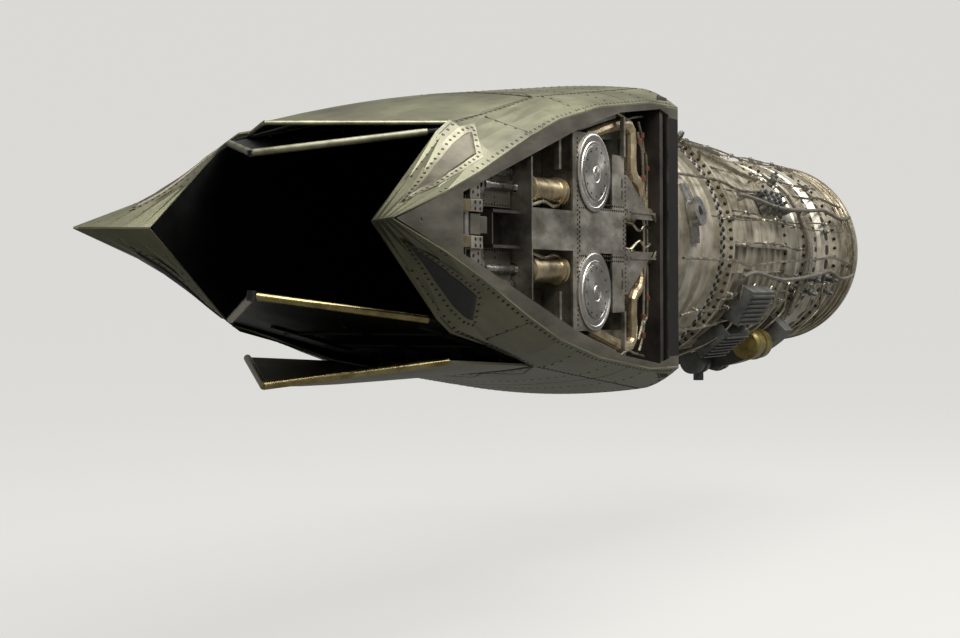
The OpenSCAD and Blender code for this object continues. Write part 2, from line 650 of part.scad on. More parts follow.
module augmentor_duct() {
    lug_s = s_aug + 150;
    color("silver") turned([[aug_r - case_wall, s_aug], [aug_r + 28, s_aug], [aug_r + 28, s_aug + flange_t],
        [aug_r, s_aug + flange_t], [aug_r, lug_s - 32], [aug_r + 24, lug_s - 28], [aug_r + 24, lug_s + 28],
        [aug_r, lug_s + 32], [aug_r, lug_s + 170], [aug_r + 14, lug_s + 172], [aug_r + 14, lug_s + 182],
        [aug_r, lug_s + 184], [aug_r, s_mount - 50], [aug_r + 24, s_mount - 44], [aug_r + 24, s_mount + 44],
        [aug_r, s_mount + 50], [aug_r, s_trans - flange_t], [aug_r + 26, s_trans - flange_t],
        [aug_r + 26, s_trans], [aug_r - case_wall, s_trans]]);
}

module augmentor_liner() {
    s0 = s_aug + 170;
    s1 = s_trans - 12;
    waves = 24;
    r = aug_r - case_wall - liner_gap;
    color("tan") {
        turned(concat([for (k = [0:waves]) [r + (k % 2) * 5, s0 + (s1 - s0) * k / waves]],
            [for (k = [waves:-1:0]) [r - 3 + (k % 2) * 5, s0 + (s1 - s0) * k / waves]]));
        for (s = [s0 + 2, s1 - 8]) turned([[r - 1, s], [aug_r - case_wall - seat, s],
            [aug_r - case_wall - seat, s + 5], [r - 1, s + 5]]);
    }
}

// Station of the side mounts and their angle from straight up
s_mount = s_aug + 500;
mount_angle = 78;

gear_s0 = s_tower - gearbox_len / 2;
gear_s1 = s_tower + gearbox_len / 2;
pad_r = gearbox_r + gearbox_d * 0.7;

module gearbox() {
    reach = gearbox_r + gearbox_d;
    color("gray") {
        about_axis() difference() {
            translate([0, 0, gear_s0]) linear_extrude(gearbox_len) difference() {
                intersection() {
                    circle(r = reach, $fn = turn_fn);
                    polygon([[0, 0], [-reach * 1.5, -reach * 1.6], [-reach * 1.5, reach * 1.6]]);
                }
                circle(r = gearbox_r, $fn = turn_fn);
            }
            rotate([0, 0, 180]) translate([gearbox_r - 4, 0, s_tower]) rotate([0, 90, 0])
                cylinder(r = tower_r + fit, h = 54, $fn = small_fn);
        }
        for (a = [150, 210]) about_axis() rotate([0, 0, a]) translate([inlet_r + 26.6, -20, s_tower + 40])
            cube([gearbox_r - inlet_r - 20, 40, 90]);
    }
}

// A turned accessory on a gearbox pad: a mounting flange, a body and an end cap.
module accessory(angle, s, dir, r, length) {
    about_axis() rotate([0, 0, angle]) translate([pad_r, 0, s]) mirror([0, 0, dir < 0 ? 1 : 0])
        rotate_extrude($fn = 64) polygon([[0, 0], [r * 0.85, 0], [r * 0.85, 10], [r * 0.6, 14], [r * 0.6, 26], [r, 34],
            [r, length * 0.45], [r + 5, length * 0.45], [r + 5, length * 0.45 + 10], [r, length * 0.45 + 10],
            [r, length - 30], [r * 0.86, length - 18], [r * 0.86, length - 6], [r * 0.4, length], [0, length]]);
}

module starter() {
    color("gray") accessory(180, gear_s0, -1, 58, 170);
}

module generator() {
    color("darkkhaki") accessory(213, gear_s1, 1, generator_r, 250);
}

module fuel_pump() {
    color("gray") {
        accessory(180, gear_s1, 1, pump_r, 190);
        about_axis() rotate([0, 0, 180]) translate([pad_r + pump_r - 8, 0, gear_s1 + 60]) rotate([0, 90, 0])
            cylinder(r = 26, h = 44, $fn = small_fn);
    }
}

module hydraulic_pump() {
    color("gray") accessory(149, gear_s1, 1, 52, 180);
}

module oil_tank() {
    r0 = inlet_r + 44;
    color("silver") {
        about_axis() translate([0, 0, s_fan + 110]) linear_extrude(330) intersection() {
            difference() {
                circle(r = r0 + 72, $fn = turn_fn);
                circle(r = r0, $fn = turn_fn);
            }
            polygon([[0, 0], [-300, 900], [-900, 560]]);
        }
        about_axis() rotate([0, 0, 118]) translate([r0 + 60, 0, s_fan + 180]) rotate([0, 90, 0])
            cylinder(r = 28, h = 30, $fn = small_fn);
        for (foot = [[s_fan + 150, inlet_r + case_wall + seat], [s_fan + 400, inlet_r + case_wall + 20 + seat]])
            about_axis() rotate([0, 0, 128]) translate([foot[1], -30, foot[0]]) cube([r0 + 6 - foot[1], 60, 12]);
    }
}

module control_units() {
    color("gray") for (a = [218, 240]) about_axis() rotate([0, 0, a]) {
        r0 = duct_r + rib_h + 8;
        translate([r0, -88, duct_rings[3] - 40]) cube([70, 176, 310]);
        for (k = [0:6]) translate([r0 + 69, -80 + 24 * k, duct_rings[3] - 30]) cube([11, 8, 290]);
        for (k = [4, 6]) {
            foot_r = duct_shell_r(duct_rings[k - 1]) + rib_h + 0.4;
            translate([foot_r, -60, duct_rings[k - 1] - 8]) cube([r0 + 2 - foot_r, 120, 16]);
        }
    }
}

// A point on a cylinder about the axis, at an angle from straight up towards the left.
function polar(r, angle, s) = [-s, r * sin(angle), r * cos(angle)];

// Clamps that stand on the cases: each is an angle, a station, the case's radius and the tube's.
module clamps(list, w) {
    for (c = list) about_axis() rotate([0, 0, c[0]]) translate([c[2] + seat, -w / 2, c[1] - w / 2])
        cube([c[3] - c[2] - seat, w, w]);
}

module tube_runs() {
    r = inlet_r + 40;
    top = duct_r + rib_h + 14;
    duct_flange_r = aug_r + 28;
    for (a = [-98, -60, 60, 98]) color("silver") clamps([[a + 1.6, s_mid - 7, inlet_r + 24, r + 15],
        [a - 0.2, s_aug + 7, duct_flange_r, duct_flange_r + 12], [a, s_mount + 20, aug_r + 24, aug_r + 40]], 12);
    for (k = [-1, 1]) color("silver") clamps([[38 * k, s_aug + 7, duct_flange_r, duct_flange_r + 12],
        [36.3 * k, duct_rings[4], duct_shell_r(duct_rings[4]) + rib_h, top + 2],
        [44.3 * k, s_aug + 7, duct_flange_r, duct_flange_r + 10],
        [52.6 * k, duct_rings[2], duct_shell_r(duct_rings[2]) + rib_h, top]], 12);
    color("silver") {
        for (s = [28, 100, 190]) {
            turned([for (k = [0:7]) [inlet_r + 34 + 6 * cos(45 * k), s + 6 * sin(45 * k)]]);
            around(9, 20) translate([inlet_r + case_wall + seat, -8, s - 4]) cube([24, 16, 8]);
        }
        for (a = [-98, -60, 60, 98]) swept([polar(r, a, 120), polar(r + 6, a + 2, 300),
            polar(r + 16, a + 4, 520), polar(r + 8, a + 2, 700), polar(top, a, s_core + 260),
            polar(top + 4, a - 3, s_aug - 240),
            polar(aug_r + 44, a, s_aug + 20), polar(aug_r + 40, a, s_trans - 60)], 7, [0, 0, 1], 6);
        both_sides() swept([polar(aug_r + 44, 38, s_aug + 120), polar(aug_r + 40, 38, s_aug - 120),
            polar(top, 36, s_aug - 420)], 13);
        both_sides() swept([polar(aug_r + 47, 44, s_aug + 40), polar(top + 12, 46, s_aug - 220),
            polar(top, 50, s_aug - 440), polar(top, 53, s_aug - 620)], 12);
    }
}

module wiring_harness() {
    r = inlet_r + 58;
    top = duct_r + rib_h + 34;
    for (a = [-105, -68, 68, 82]) color("dimgray") clamps([[a - 0.3, s_mid - 7, inlet_r + 24, r + 18],
        [a - 1.8, s_core, inlet_r + 26, r + 32],
        [a + 1.6, duct_rings[5], duct_shell_r(duct_rings[5]) + rib_h, top + 4]], 14);
    color("dimgray") for (a = [-105, -68, 68, 82]) swept([polar(r, a, 80), polar(r + 2, a - 3, 280),
        polar(r + 4, a + 3, 560), polar(r + 18, a, 800), polar(top, a - 3, s_core + 240),
        polar(top, a + 2, s_aug - 300), polar(aug_r + 66, a, s_aug - 60)], 10);
}

module side_mounts() {
    pad = aug_r + 24 + seat;
    color("gray") both_sides() about_axis() rotate([0, 0, mount_angle]) difference() {
        union() {
            translate([pad + 6, 0, s_mount]) rotate([0, 90, 0]) cylinder(r = 62, h = 40, $fn = 48);
            translate([0, 0, s_mount - 40]) linear_extrude(80) difference() {
                intersection() {
                    circle(r = pad + 14, $fn = turn_fn);
                    polygon([[0, 0], [800, -190], [800, 190]]);
                }
                circle(r = pad, $fn = turn_fn);
            }
        }
        translate([pad + 8, 0, s_mount]) rotate([0, 90, 0]) cylinder(r = mount_bore_r, h = 60, $fn = 48);
    }
}

module top_lugs() {
    s = s_aug + 150;
    foot = aug_r + 24 + seat;
    color("gray") for (a = [-36, 36]) about_axis() rotate([0, 0, a]) translate([foot, 0, s]) difference() {
        union() {
            translate([0, -30, -24]) cube([12, 60, 48]);
            side_plate(-8, 16) polygon([[0, -22], [46, -20], [64, -12], [70, 0], [64, 12], [46, 20], [0, 22]]);
        }
        translate([46, -20, 0]) rotate([-90, 0, 0]) cylinder(r = lug_bore_r, h = 60, $fn = small_fn);
    }
}

// How far the nozzle's three long edges have dropped at a station: the crown, the edge over the
// sidewall and the crease over the side frame. The last two are parts of the height at the front.
crown_drop = [[0, 0], [637, 84], [938, 124], [1156, 156], [1516, 219], [1981, 317]];
inboard_drop = [[0, 0], [938, 0.21], [1091, 0.272], [1320, 0.36], [1548, 0.432], [1635, 0.507], [1835, 0.759], [2025, 1]];
crease_drop = [[0, 0], [292, 0.015], [760, 0.13], [1091, 0.273], [1320, 0.422], [1669, 0.683], [1860, 0.809], [2191, 1]];

function crown(s) = crown_h - lookup(s - s_noz, crown_drop);
function inboard(s) = shoulder_h * (1 - lookup((s - s_noz) * 2025 / side_len, inboard_drop));
function crease(s) = crease_h * (1 - lookup((s - s_noz) * 2191 / tip_len, crease_drop));
function out_part(y) = (abs(y) - wall_half_w) / (noz_half_w - wall_half_w);
function skin_z(s, y) = abs(y) <= wall_half_w ?
    crown(s) - (crown(s) - inboard(s)) * pow(y / wall_half_w, 2) :
    inboard(s) - (inboard(s) - crease(s)) * pow(out_part(y), 1.7);
function wall_top(s) = inboard(s) - skin_t - 0.5 - 0.112 * (inboard(s) - crease(s));

// A place between the sidewall's face and the side frame's face, from 0 to 1.
function outboard(part) = wall_half_w + (noz_half_w - wall_half_w) * part;
skin_y = concat([for (part = [1, 0.83, 0.65, 0.455, 0.23, 0]) -outboard(part)],
    [for (k = [-6:6]) wall_half_w * k / 7], [for (part = [0, 0.23, 0.455, 0.65, 0.83, 1]) outboard(part)]);
skin_s = [s_noz, s_noz + 150, s_noz + 292, s_noz + 450, s_noz + 637, s_noz + 760, s_noz + 860, s_seam];

// Hinge lugs either side of each knuckle, with their pins; the base is a (station, z) outline.
module fixed_lugs(ys, w, s, z) {
    for (y = ys) {
        for (side = [-1, 1]) side_plate(y + side * (w / 2 + 7) - 6, 12) {
            translate([s, z]) circle(r = knuckle_r, $fn = small_fn);
            children();
        }
        translate([s, y - w / 2 - 13, z]) rotate([-90, 0, 0]) cylinder(r = pin_r, h = w + 26, $fn = small_fn);
    }
}

// A knuckle on a flap, in the flap's own frame: x aft from the axis and z outward.
module knuckles(ys, w, x) {
    for (y = ys) side_plate(y - w / 2, w) difference() {
        union() {
            translate([x, 0]) circle(r = knuckle_r, $fn = small_fn);
            children();
        }
        translate([x, 0]) circle(r = pin_r + fit, $fn = small_fn);
    }
}

module skin_sheet() {
    aft() mirror([1, 0, 0]) sheet([for (s = skin_s) [for (y = skin_y) [-s, y, skin_z(s, y)]]],
        [for (s = skin_s) [for (y = skin_y) [-s, y, skin_z(s, y) - skin_t]]]);
    for (y = ext_knuckle_y) aft() fixed_lugs([y], ext_knuckle_w, ext_axis_s, ext_axis_h) {
        edge_y = abs(y) + ext_knuckle_w / 2 + 13;
        polygon([[s_seam - 64, skin_z(s_seam - 64, edge_y) - skin_t / 2],
            [s_seam - 20, skin_z(s_seam - 20, edge_y) - skin_t / 2], [s_seam - 14, ext_axis_h + knuckle_r],
            [ext_axis_s, ext_axis_h + knuckle_r], [ext_axis_s, ext_axis_h - knuckle_r],
            [s_seam, ext_axis_h - knuckle_r], [s_seam - 20, ext_axis_h + 6], [s_seam - 64, ext_axis_h + 8]]);
    }
}

module upper_skin() {
    color("olive") skin_sheet();
}

module lower_skin() {
    color("olive") mirror([0, 0, 1]) skin_sheet();
}

// The swept fairing over a bay, ruled from the sidewall's edge to the crease.
module fairing() {
    in_s = [s_seam + 1, s_noz + 1091, s_noz + 1320, s_noz + 1548, s_noz + 1635, s_noz + 1835, s_noz + side_len];
    out_s = [s_seam + 1, s_noz + 1091, s_noz + 1320, s_noz + 1548, s_noz + 1669, s_noz + 1880, s_noz + tip_len];
    power = [1.7, 1.6, 1.3, 1.1, 1, 1, 1];
    parts = [0, 0.12, 0.35, 0.6, 0.8, 1];
    top = [for (i = [0:6]) [for (u = parts) let (s = in_s[i] + (out_s[i] - in_s[i]) * u)
        [-s, wall_half_w + (noz_half_w - wall_half_w) * u,
            max(3, inboard(in_s[i]) - (inboard(in_s[i]) - crease(out_s[i])) * pow(u, power[i]))]]];
    sheet(top, [for (row = top) [for (p = row) [p[0], p[1], p[2] - min(skin_t, p[2] * 0.9)]]]);
}

module side_fairings() {
    color("olive") both_sides() above_and_below() fairing();
}

module sidewalls() {
    s0 = s_bulk + bulk_t;
    stations = [s0, s_noz + 292, s_noz + 760, s_seam, s_noz + 1091, s_noz + 1320, s_noz + 1548, s_noz + 1635,
        s_noz + 1669, s_noz + 1835, s_noz + side_len - 12];
    color("gray") both_sides() aft() above_and_below() side_plate(wall_half_w, wall_t)
        polygon(concat([[s0, 0]], [for (s = stations) [s, max(1, wall_top(s))]], [[s_noz + side_len - 12, 0]]));
}

module side_frames() {
    stations = [s_noz, s_noz + 292, s_noz + 760, s_noz + 1091, s_noz + 1320, s_noz + 1669, s_noz + 1860,
        s_noz + tip_len - 24];
    color("gray") both_sides() aft() {
        side_plate(noz_half_w - frame_t, frame_t) difference() {
            polygon(concat([for (s = stations) [s, max(1, crease(s) - skin_t - 0.5)]],
                [for (k = [len(stations) - 1:-1:0]) [stations[k], -max(1, crease(stations[k]) - skin_t - 0.5)]]));
            polygon([[s_noz + 100, 0], [s_noz + 100, crease_h - 40], [s_noz + 184, crease_h - 24],
                [s_noz + 575, crease_h - 74], [s_noz + 967, crease_h - 175], [s_noz + 1288, crease_h - 276],
                [s_noz + 1667, crease_h - 396], [s_noz + 1775, crease_h - 428], [s_noz + 1775, 428 - crease_h],
                [s_noz + 1667, 396 - crease_h], [s_noz + 1288, 276 - crease_h], [s_noz + 967, 175 - crease_h],
                [s_noz + 575, 74 - crease_h], [s_noz + 184, 24 - crease_h], [s_noz + 100, 40 - crease_h]]);
            translate([s_noz + 2032, 0]) circle(r = 7, $fn = small_fn);
        }
        for (z = [54, -54]) translate([s_noz + 1740, noz_half_w - 42, z - 20]) cube([70, 38, 40]);
    }
}

bay_out = noz_half_w - frame_t - seat;
bay_in = wall_half_w + wall_t + seat;
panel_out = noz_half_w - panel_in;
panel_aft_s = s_noz + 945;
barrel_y = (bay_in + bay_out) / 2;

module bay_web(s, half, outer) {
    translate([s - web_t / 2, bay_in, -half]) cube([web_t, outer - bay_in, 2 * half]);
}

module bay_webs() {
    color("gray") both_sides() aft() {
        difference() {
            bay_web(web_s[0], panel_half_h + 5, panel_out - plate_t - seat);
            for (z = [-230, 0, 230]) translate([web_s[0] - 9, barrel_y - 8, z]) rotate([0, 90, 0])
                cylinder(r = 46, h = 18, $fn = small_fn);
        }
        difference() {
            bay_web(web_s[1], panel_half_h - 3, panel_out - plate_t - seat);
            translate([web_s[1] - 9, barrel_y - 8, 0]) rotate([0, 90, 0]) cylinder(r = 46, h = 18, $fn = small_fn);
        }
        difference() {
            bay_web(web_s[2], panel_half_h - 115, bay_out);
            for (z = [-barrel_z, barrel_z]) translate([web_s[2] - 9, barrel_y, z]) rotate([0, 90, 0])
                cylinder(r = rod_r + 8, h = 18, $fn = small_fn);
        }
        translate([web_s[1] + 4, bay_out - 48, -70]) difference() {
            cube([web_s[2] - web_s[1] - 8, 40, 140]);
            translate([-1, -1, 8]) cube([web_s[2] - web_s[1], 33, 124]);
            translate([-5, panel_out - plate_t - seat - bay_out + 48, -1])
                cube([panel_aft_s + seat - web_s[1] + 1, 40, 142]);
        }
    }
}

module side_panels() {
    color("silver") both_sides() aft() {
        side_plate(panel_out - plate_t, plate_t) {
            translate([s_noz + 819, -panel_half_h]) square([panel_aft_s - s_noz - 819, 2 * panel_half_h]);
            translate([s_noz + 479, -75]) square([432, 165]);
            translate([s_noz + 494, 62 - panel_half_h]) square([111, 2 * panel_half_h - 124]);
            for (z = [-cover_z, cover_z]) translate([cover_s, z]) circle(r = cover_r + 9, $fn = 64);
            for (k = [-1, 1]) polygon([[s_noz + 209, 62 * k], [s_noz + 466, 225 * k], [s_noz + 500, 225 * k],
                [s_noz + 500, 62 * k]]);
        }
        for (k = [-1, 1]) translate([s_noz + 497, panel_out - plate_t, k > 0 ? 290 : -440]) cube([16, 16, 150]);
    }
}

module pivot_covers() {
    r = cover_r;
    disc_r = r - 44;
    color("silver") both_sides() for (z = [-cover_z, cover_z]) translate([-cover_s, panel_out + seat, z])
        rotate([-90, 0, 0]) difference() {
            rotate_extrude($fn = 64) polygon([[0, 0], [r, 0], [r, 6], [r - 5, 8], [r - 14, 8], [r - 17, 6], [r - 27, 6],
                [r - 30, 9], [r - 38, 9], [r - 41, 6], [disc_r, 6], [disc_r, 12], [36, 14], [33, 12], [24, 12],
                [21, 15], [0, 15]]);
            for (i = [0:11]) rotate([0, 0, 30 * i]) translate([disc_r - 11, 0, 9]) cylinder(r = 4.5, h = 10, $fn = 16);
        }
}

module actuator_barrels() {
    s0 = web_s[1] + web_t / 2 + seat;
    r = barrel_r;
    color("tan") both_sides() for (z = [-barrel_z, barrel_z]) translate([-s0, barrel_y, z]) rotate([0, -90, 0])
        rotate_extrude($fn = 48) polygon([[0, 0], [r + 8, 0], [r + 8, 10], [r + 2, 14], [r + 2, 24], [r + 8, 28],
            [r + 8, 38], [r, 42], [r, 236], [r + 5, 238], [r + 5, 262], [r - 8, 268], [rod_r + fit, 268],
            [rod_r + fit, 240], [r - 8, 240], [r - 8, 16], [0, 16]]);
}

module actuator_rod() {
    s0 = web_s[1] + 120;
    eye_s = web_s[1] + 606;
    translate([-s0, barrel_y, barrel_z]) rotate([0, -90, 0]) rotate_extrude($fn = 48)
        polygon([[0, 0], [barrel_r - 8 - fit, 0], [barrel_r - 8 - fit, 30], [rod_r, 30], [rod_r, eye_s - s0 - 60],
            [rod_r + 5, eye_s - s0 - 56], [rod_r + 5, eye_s - s0 - 30], [0, eye_s - s0 - 24]]);
    aft() difference() {
        union() {
            translate([eye_s, barrel_y - 14, barrel_z]) rotate([-90, 0, 0]) cylinder(r = 32, h = 28, $fn = small_fn);
            translate([eye_s - 34, barrel_y - 12, barrel_z - 15]) cube([20, 24, 30]);
        }
        translate([eye_s, barrel_y - 20, barrel_z]) rotate([-90, 0, 0]) cylinder(r = 14, h = 40, $fn = small_fn);
    }
}

module upper_rods() {
    color("silver") both_sides() actuator_rod();
}

module lower_rods() {
    color("silver") mirror([0, 0, 1]) both_sides() actuator_rod();
}

module air_ducts() {
    y = barrel_y + 20;
    route = [[s_noz + 750, 350], [s_noz + 434, 431], [s_noz + 331, 418], [s_noz + 343, 236], [s_bulk + 120, 205],
        [s_bulk + 92, 90], [s_bulk + bulk_t + seat, 90]];
    color("tan") both_sides() above_and_below() swept([for (p = route) [-p[0], y, p[1]]], air_r, [0, 1, 0], 12);
}

// The duct's change from round to rectangular.
module loft(r, half_w, half_h, s0) {
    hull() {
        about_axis() translate([0, 0, s0]) cylinder(r = r, h = flange_t, $fn = 64);
        translate([-s_bulk + 10, -half_w, -half_h]) cube([1, 2 * half_w, 2 * half_h]);
    }
}

module transition_duct() {
    half_w = wall_half_w - seat;
    half_h = throat_h + case_wall;
    run = s_conv - 30 - s_bulk + 10;
    color("silver") difference() {
        union() {
            loft(aug_r, half_w, half_h, s_trans);
            turned([[aug_r - 20, s_trans], [aug_r + 26, s_trans], [aug_r + 26, s_trans + flange_t],
                [aug_r - 20, s_trans + flange_t]]);
            translate([-s_conv + 30, -half_w, -half_h]) cube([run, 2 * half_w, 2 * half_h]);
        }
        loft(aug_r - case_wall, half_w - 5, throat_h, s_trans - 1);
        translate([-s_conv + 29, -half_w + 5, -throat_h]) cube([run + 2, 2 * half_w - 10, 2 * throat_h]);
    }
}

module nozzle_bulkhead() {
    s1 = s_bulk + bulk_t;
    half = noz_half_w - frame_t - 1;
    side_y = [for (part = [0, 0.43, 0.65, 0.82]) outboard(part)];
    ys = concat([-half], [for (k = [3:-1:0]) -side_y[k]], [for (k = [-3:3]) wall_half_w * k / 4], side_y, [half]);
    axis_h = throat_h + hinge_up;
    color("dimgray") {
        translate([-s1, 0, 0]) cross_plate(bulk_t) difference() {
            polygon(concat([for (y = ys) [y, skin_z(s1, y) - skin_t - 2]],
                [for (k = [len(ys) - 1:-1:0]) [ys[k], -skin_z(s1, ys[k]) + skin_t + 2]]));
            square([2 * wall_half_w, 2 * (throat_h + case_wall + seat)], center = true);
        }
        aft() above_and_below() fixed_lugs(knuckle_y, knuckle_w, s_conv, axis_h)
            polygon([[s1 - 2, axis_h - 12], [s_conv, axis_h - 12], [s_conv, axis_h + 12], [s1 - 2, axis_h + 30]]);
    }
}

// A flap's frame: x runs aft from its hinge's axis and z points outward.
module at_hinge(s, z, angle) {
    aft() translate([s, 0, z]) rotate([0, angle, 0]) children();
}

module convergent_flap() {
    translate([-8, -flap_half_w, -hinge_up]) cube([conv_len, 2 * flap_half_w, plate_t]);
    for (y = [-380, -200, 0, 200, 380]) translate([60, y - 6, plate_t - hinge_up - 1]) cube([conv_len - 150, 12, 34]);
    knuckles(knuckle_y, knuckle_w, 0) polygon([[0, 12], [10, 12], [60, -15], [-11, -15], [-12, 0]]);
    for (side = [-1, 1]) knuckles(knuckle_y + side * [36, 36, 36, 36], 20, conv_len)
        polygon([[conv_len - 70, -15], [conv_len - 12, -15], [conv_len, -12], [conv_len, 12], [conv_len - 20, 12]]);
}

module throat_pins() {
    for (y = knuckle_y) translate([s_throat, y - 47, throat_h + hinge_up]) rotate([-90, 0, 0])
        cylinder(r = pin_r, h = 94, $fn = small_fn);
}

module divergent_flap(guard_r) {
    point = [div_len, 0];
    corner = [div_side, flap_half_w];
    start = corner + (point - corner) * 0.05;
    run = norm(point - start);
    swing = atan2(point[1] - start[1], point[0] - start[0]);
    mid_z = plate_t / 2 - hinge_up;
    translate([0, 0, -hinge_up]) linear_extrude(plate_t) polygon([[8, -flap_half_w], [div_side, -flap_half_w],
        [div_len - 6, 0], [div_side, flap_half_w], [8, flap_half_w]]);
    for (y = [-300, 0, 300]) translate([150, y - 6, plate_t - hinge_up - 1]) cube([div_side - 240, 12, 10]);
    for (x = [260, 520]) translate([x, -350, plate_t - hinge_up - 1]) cube([8, 700, 8]);
    knuckles(knuckle_y, knuckle_w, 0) polygon([[0, 12], [20, 12], [70, -15], [12, -15], [0, -12]]);
    both_sides() translate([start[0], start[1], mid_z]) rotate([0, 90, swing])
        cylinder(r = guard_r, h = run, $fn = small_fn);
    translate([div_len, 0, mid_z - guard_r - 2]) cylinder(r = guard_r + 4, h = 2 * guard_r + 4, $fn = small_fn);
}

// The external flap: its skin, the knuckles under its front edge and the guard on its pointed edge.
module external_flap(guard_r) {
    side_s = ext_axis_s + ext_len - 468;
    point_s = ext_axis_s + ext_len;
    corner_z = inboard(side_s) - 10;
    point_z = crown(point_s);
    vs = [-1, -0.85, -0.68, -0.5, -0.33, -0.16, 0, 0.16, 0.33, 0.5, 0.68, 0.85, 1];
    ts = [0, 0.15, 0.3, 0.45, 0.6, 0.8, 1];
    top = [for (t = ts) [for (v = vs) let (end_s = point_s - 468 * abs(v), end_z = point_z + (corner_z - point_z) * abs(v),
        front = skin_z(ext_axis_s, v * flap_half_w))
        [(end_s - ext_axis_s) * t, v * flap_half_w,
            front + (end_z - front) * t + 46 * t * (1 - t) * (1 - v * v) - ext_axis_h]]];
    corner = [side_s - ext_axis_s, flap_half_w - 9, corner_z - ext_axis_h - 4];
    point = [point_s - ext_axis_s, 0, point_z - ext_axis_h - 4];
    mirror([1, 0, 0]) sheet([for (row = top) [for (p = row) [-p[0], p[1], p[2]]]],
        [for (row = top) [for (p = row) [-p[0], p[1], p[2] - 8]]]);
    for (y = ext_knuckle_y) {
        h = skin_z(ext_axis_s, abs(y) + ext_knuckle_w / 2) - ext_axis_h - 3;
        knuckles([y], ext_knuckle_w, 0) polygon([[0, h], [70, h - 15], [70, h - 24], [10, -knuckle_r + 2], [0, -knuckle_r]]);
    }
    run = point - corner;
    for (k = [-1, 1]) translate([corner[0], corner[1] * k, corner[2]]) rotate([0, 0, atan2(run[1] * k, run[0])])
        rotate([0, 90 - asin(run[2] / norm(run)), 0]) cylinder(r = guard_r, h = norm(run), $fn = small_fn);
}

module upper_convergent_flap() {
    color("gray") at_hinge(s_conv, throat_h + hinge_up, 0) convergent_flap();
}

module lower_convergent_flap() {
    color("gray") mirror([0, 0, 1]) at_hinge(s_conv, throat_h + hinge_up, 0) convergent_flap();
}

module throat_pins_upper() {
    color("silver") aft() throat_pins();
}

module throat_pins_lower() {
    color("silver") mirror([0, 0, 1]) aft() throat_pins();
}

module upper_divergent_flap() {
    color("gray") at_hinge(s_throat, throat_h + hinge_up, div_angle) divergent_flap(7);
}

module lower_divergent_flap() {
    color("gray") mirror([0, 0, 1]) at_hinge(s_throat, throat_h + hinge_up, div_angle) divergent_flap(13);
}

module upper_external_flap() {
    color("olive") at_hinge(ext_axis_s, ext_axis_h, 0) external_flap(7);
}

module lower_external_flap() {
    color("olive") mirror([0, 0, 1]) at_hinge(ext_axis_s, ext_axis_h, -droop) external_flap(12);
}

inlet_case();
nose_cone();
fan_case();
fan_stators();
fan_stage_1();
fan_stage_2();
fan_stage_3();
low_shaft();
low_turbine();
intermediate_case();
compressor_case();
compressor_rotor();
high_turbine();
diffuser_case();
combustor_liner();
fuel_nozzles();
turbine_nozzle();
turbine_case();
exhaust_case();
tail_cone();
main_bearings();
tower_shaft();
fan_duct_upper();
fan_duct_lower();
flame_holder();
augmentor_duct();
augmentor_liner();
gearbox();
starter();
generator();
fuel_pump();
hydraulic_pump();
oil_tank();
control_units();
tube_runs();
wiring_harness();
side_mounts();
top_lugs();
transition_duct();
nozzle_bulkhead();
sidewalls();
upper_skin();
lower_skin();
side_fairings();
side_frames();
bay_webs();
side_panels();
pivot_covers();
actuator_barrels();
upper_rods();
lower_rods();
air_ducts();
upper_convergent_flap();
lower_convergent_flap();
throat_pins_upper();
throat_pins_lower();
upper_divergent_flap();
lower_divergent_flap();
upper_external_flap();
lower_external_flap();
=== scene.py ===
import math

import bpy
import numpy as np
from mathutils import Matrix, Vector


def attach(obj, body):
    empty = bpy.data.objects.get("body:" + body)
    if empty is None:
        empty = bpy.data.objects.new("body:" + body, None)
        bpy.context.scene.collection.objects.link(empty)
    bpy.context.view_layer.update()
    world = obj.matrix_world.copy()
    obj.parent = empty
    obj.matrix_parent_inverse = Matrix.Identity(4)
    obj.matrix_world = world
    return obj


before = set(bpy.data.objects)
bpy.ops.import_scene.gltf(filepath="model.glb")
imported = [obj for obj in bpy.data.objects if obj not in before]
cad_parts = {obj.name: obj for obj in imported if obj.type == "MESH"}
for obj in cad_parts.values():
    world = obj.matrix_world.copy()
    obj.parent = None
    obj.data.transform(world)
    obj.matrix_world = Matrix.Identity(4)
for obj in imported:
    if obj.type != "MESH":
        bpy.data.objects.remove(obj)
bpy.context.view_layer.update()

# Camera. It stands behind the nozzle and to its right, a little below the engine's axis, and
# looks forward along the side bay. Place, lens and tilt are fitted to points of the object.
heading, pitch, roll = math.radians(28.57), math.radians(0.92), math.radians(-0.33)
level = Vector((math.cos(heading), math.sin(heading), 0))
look = level * math.cos(pitch) - Vector((0, 0, 1)) * math.sin(pitch)
side = Vector((math.sin(heading), -math.cos(heading), 0))
up = side.cross(look)
right = side * math.cos(roll) + up * math.sin(roll)
up = right.cross(look)
camera = bpy.data.objects.new("camera", bpy.data.cameras.new("camera"))
camera.data.lens = 36 * 1660 / 960
camera.data.sensor_width = 36
camera.matrix_world = Matrix((right, up, -look)).transposed().to_4x4()
camera.location = (-9.219, -3.097, -0.215)
bpy.context.scene.collection.objects.link(camera)
bpy.context.scene.camera = camera
bpy.context.scene.view_settings.view_transform = "Standard"


def srgb(code):
    """A hex colour in linear light: each channel goes through the sRGB curve."""
    c = np.array([int(code[i:i + 2], 16) / 255 for i in (1, 3, 5)])
    c = np.where(c <= 0.04045, c / 12.92, ((c + 0.055) / 1.055) ** 2.4)
    return (*c.tolist(), 1.0)


def add(tree, kind, settings=(), links=()):
    """One node: settings are its properties and unlinked inputs, links are the sockets it reads."""
    made = tree.nodes.new(kind)
    for key, value in dict(settings).items():
        if isinstance(key, int) or key in made.inputs:
            made.inputs[key].default_value = value
        else:
            setattr(made, key, value)
    for key, socket in dict(links).items():
        tree.links.new(socket, made.inputs[key])
    return made


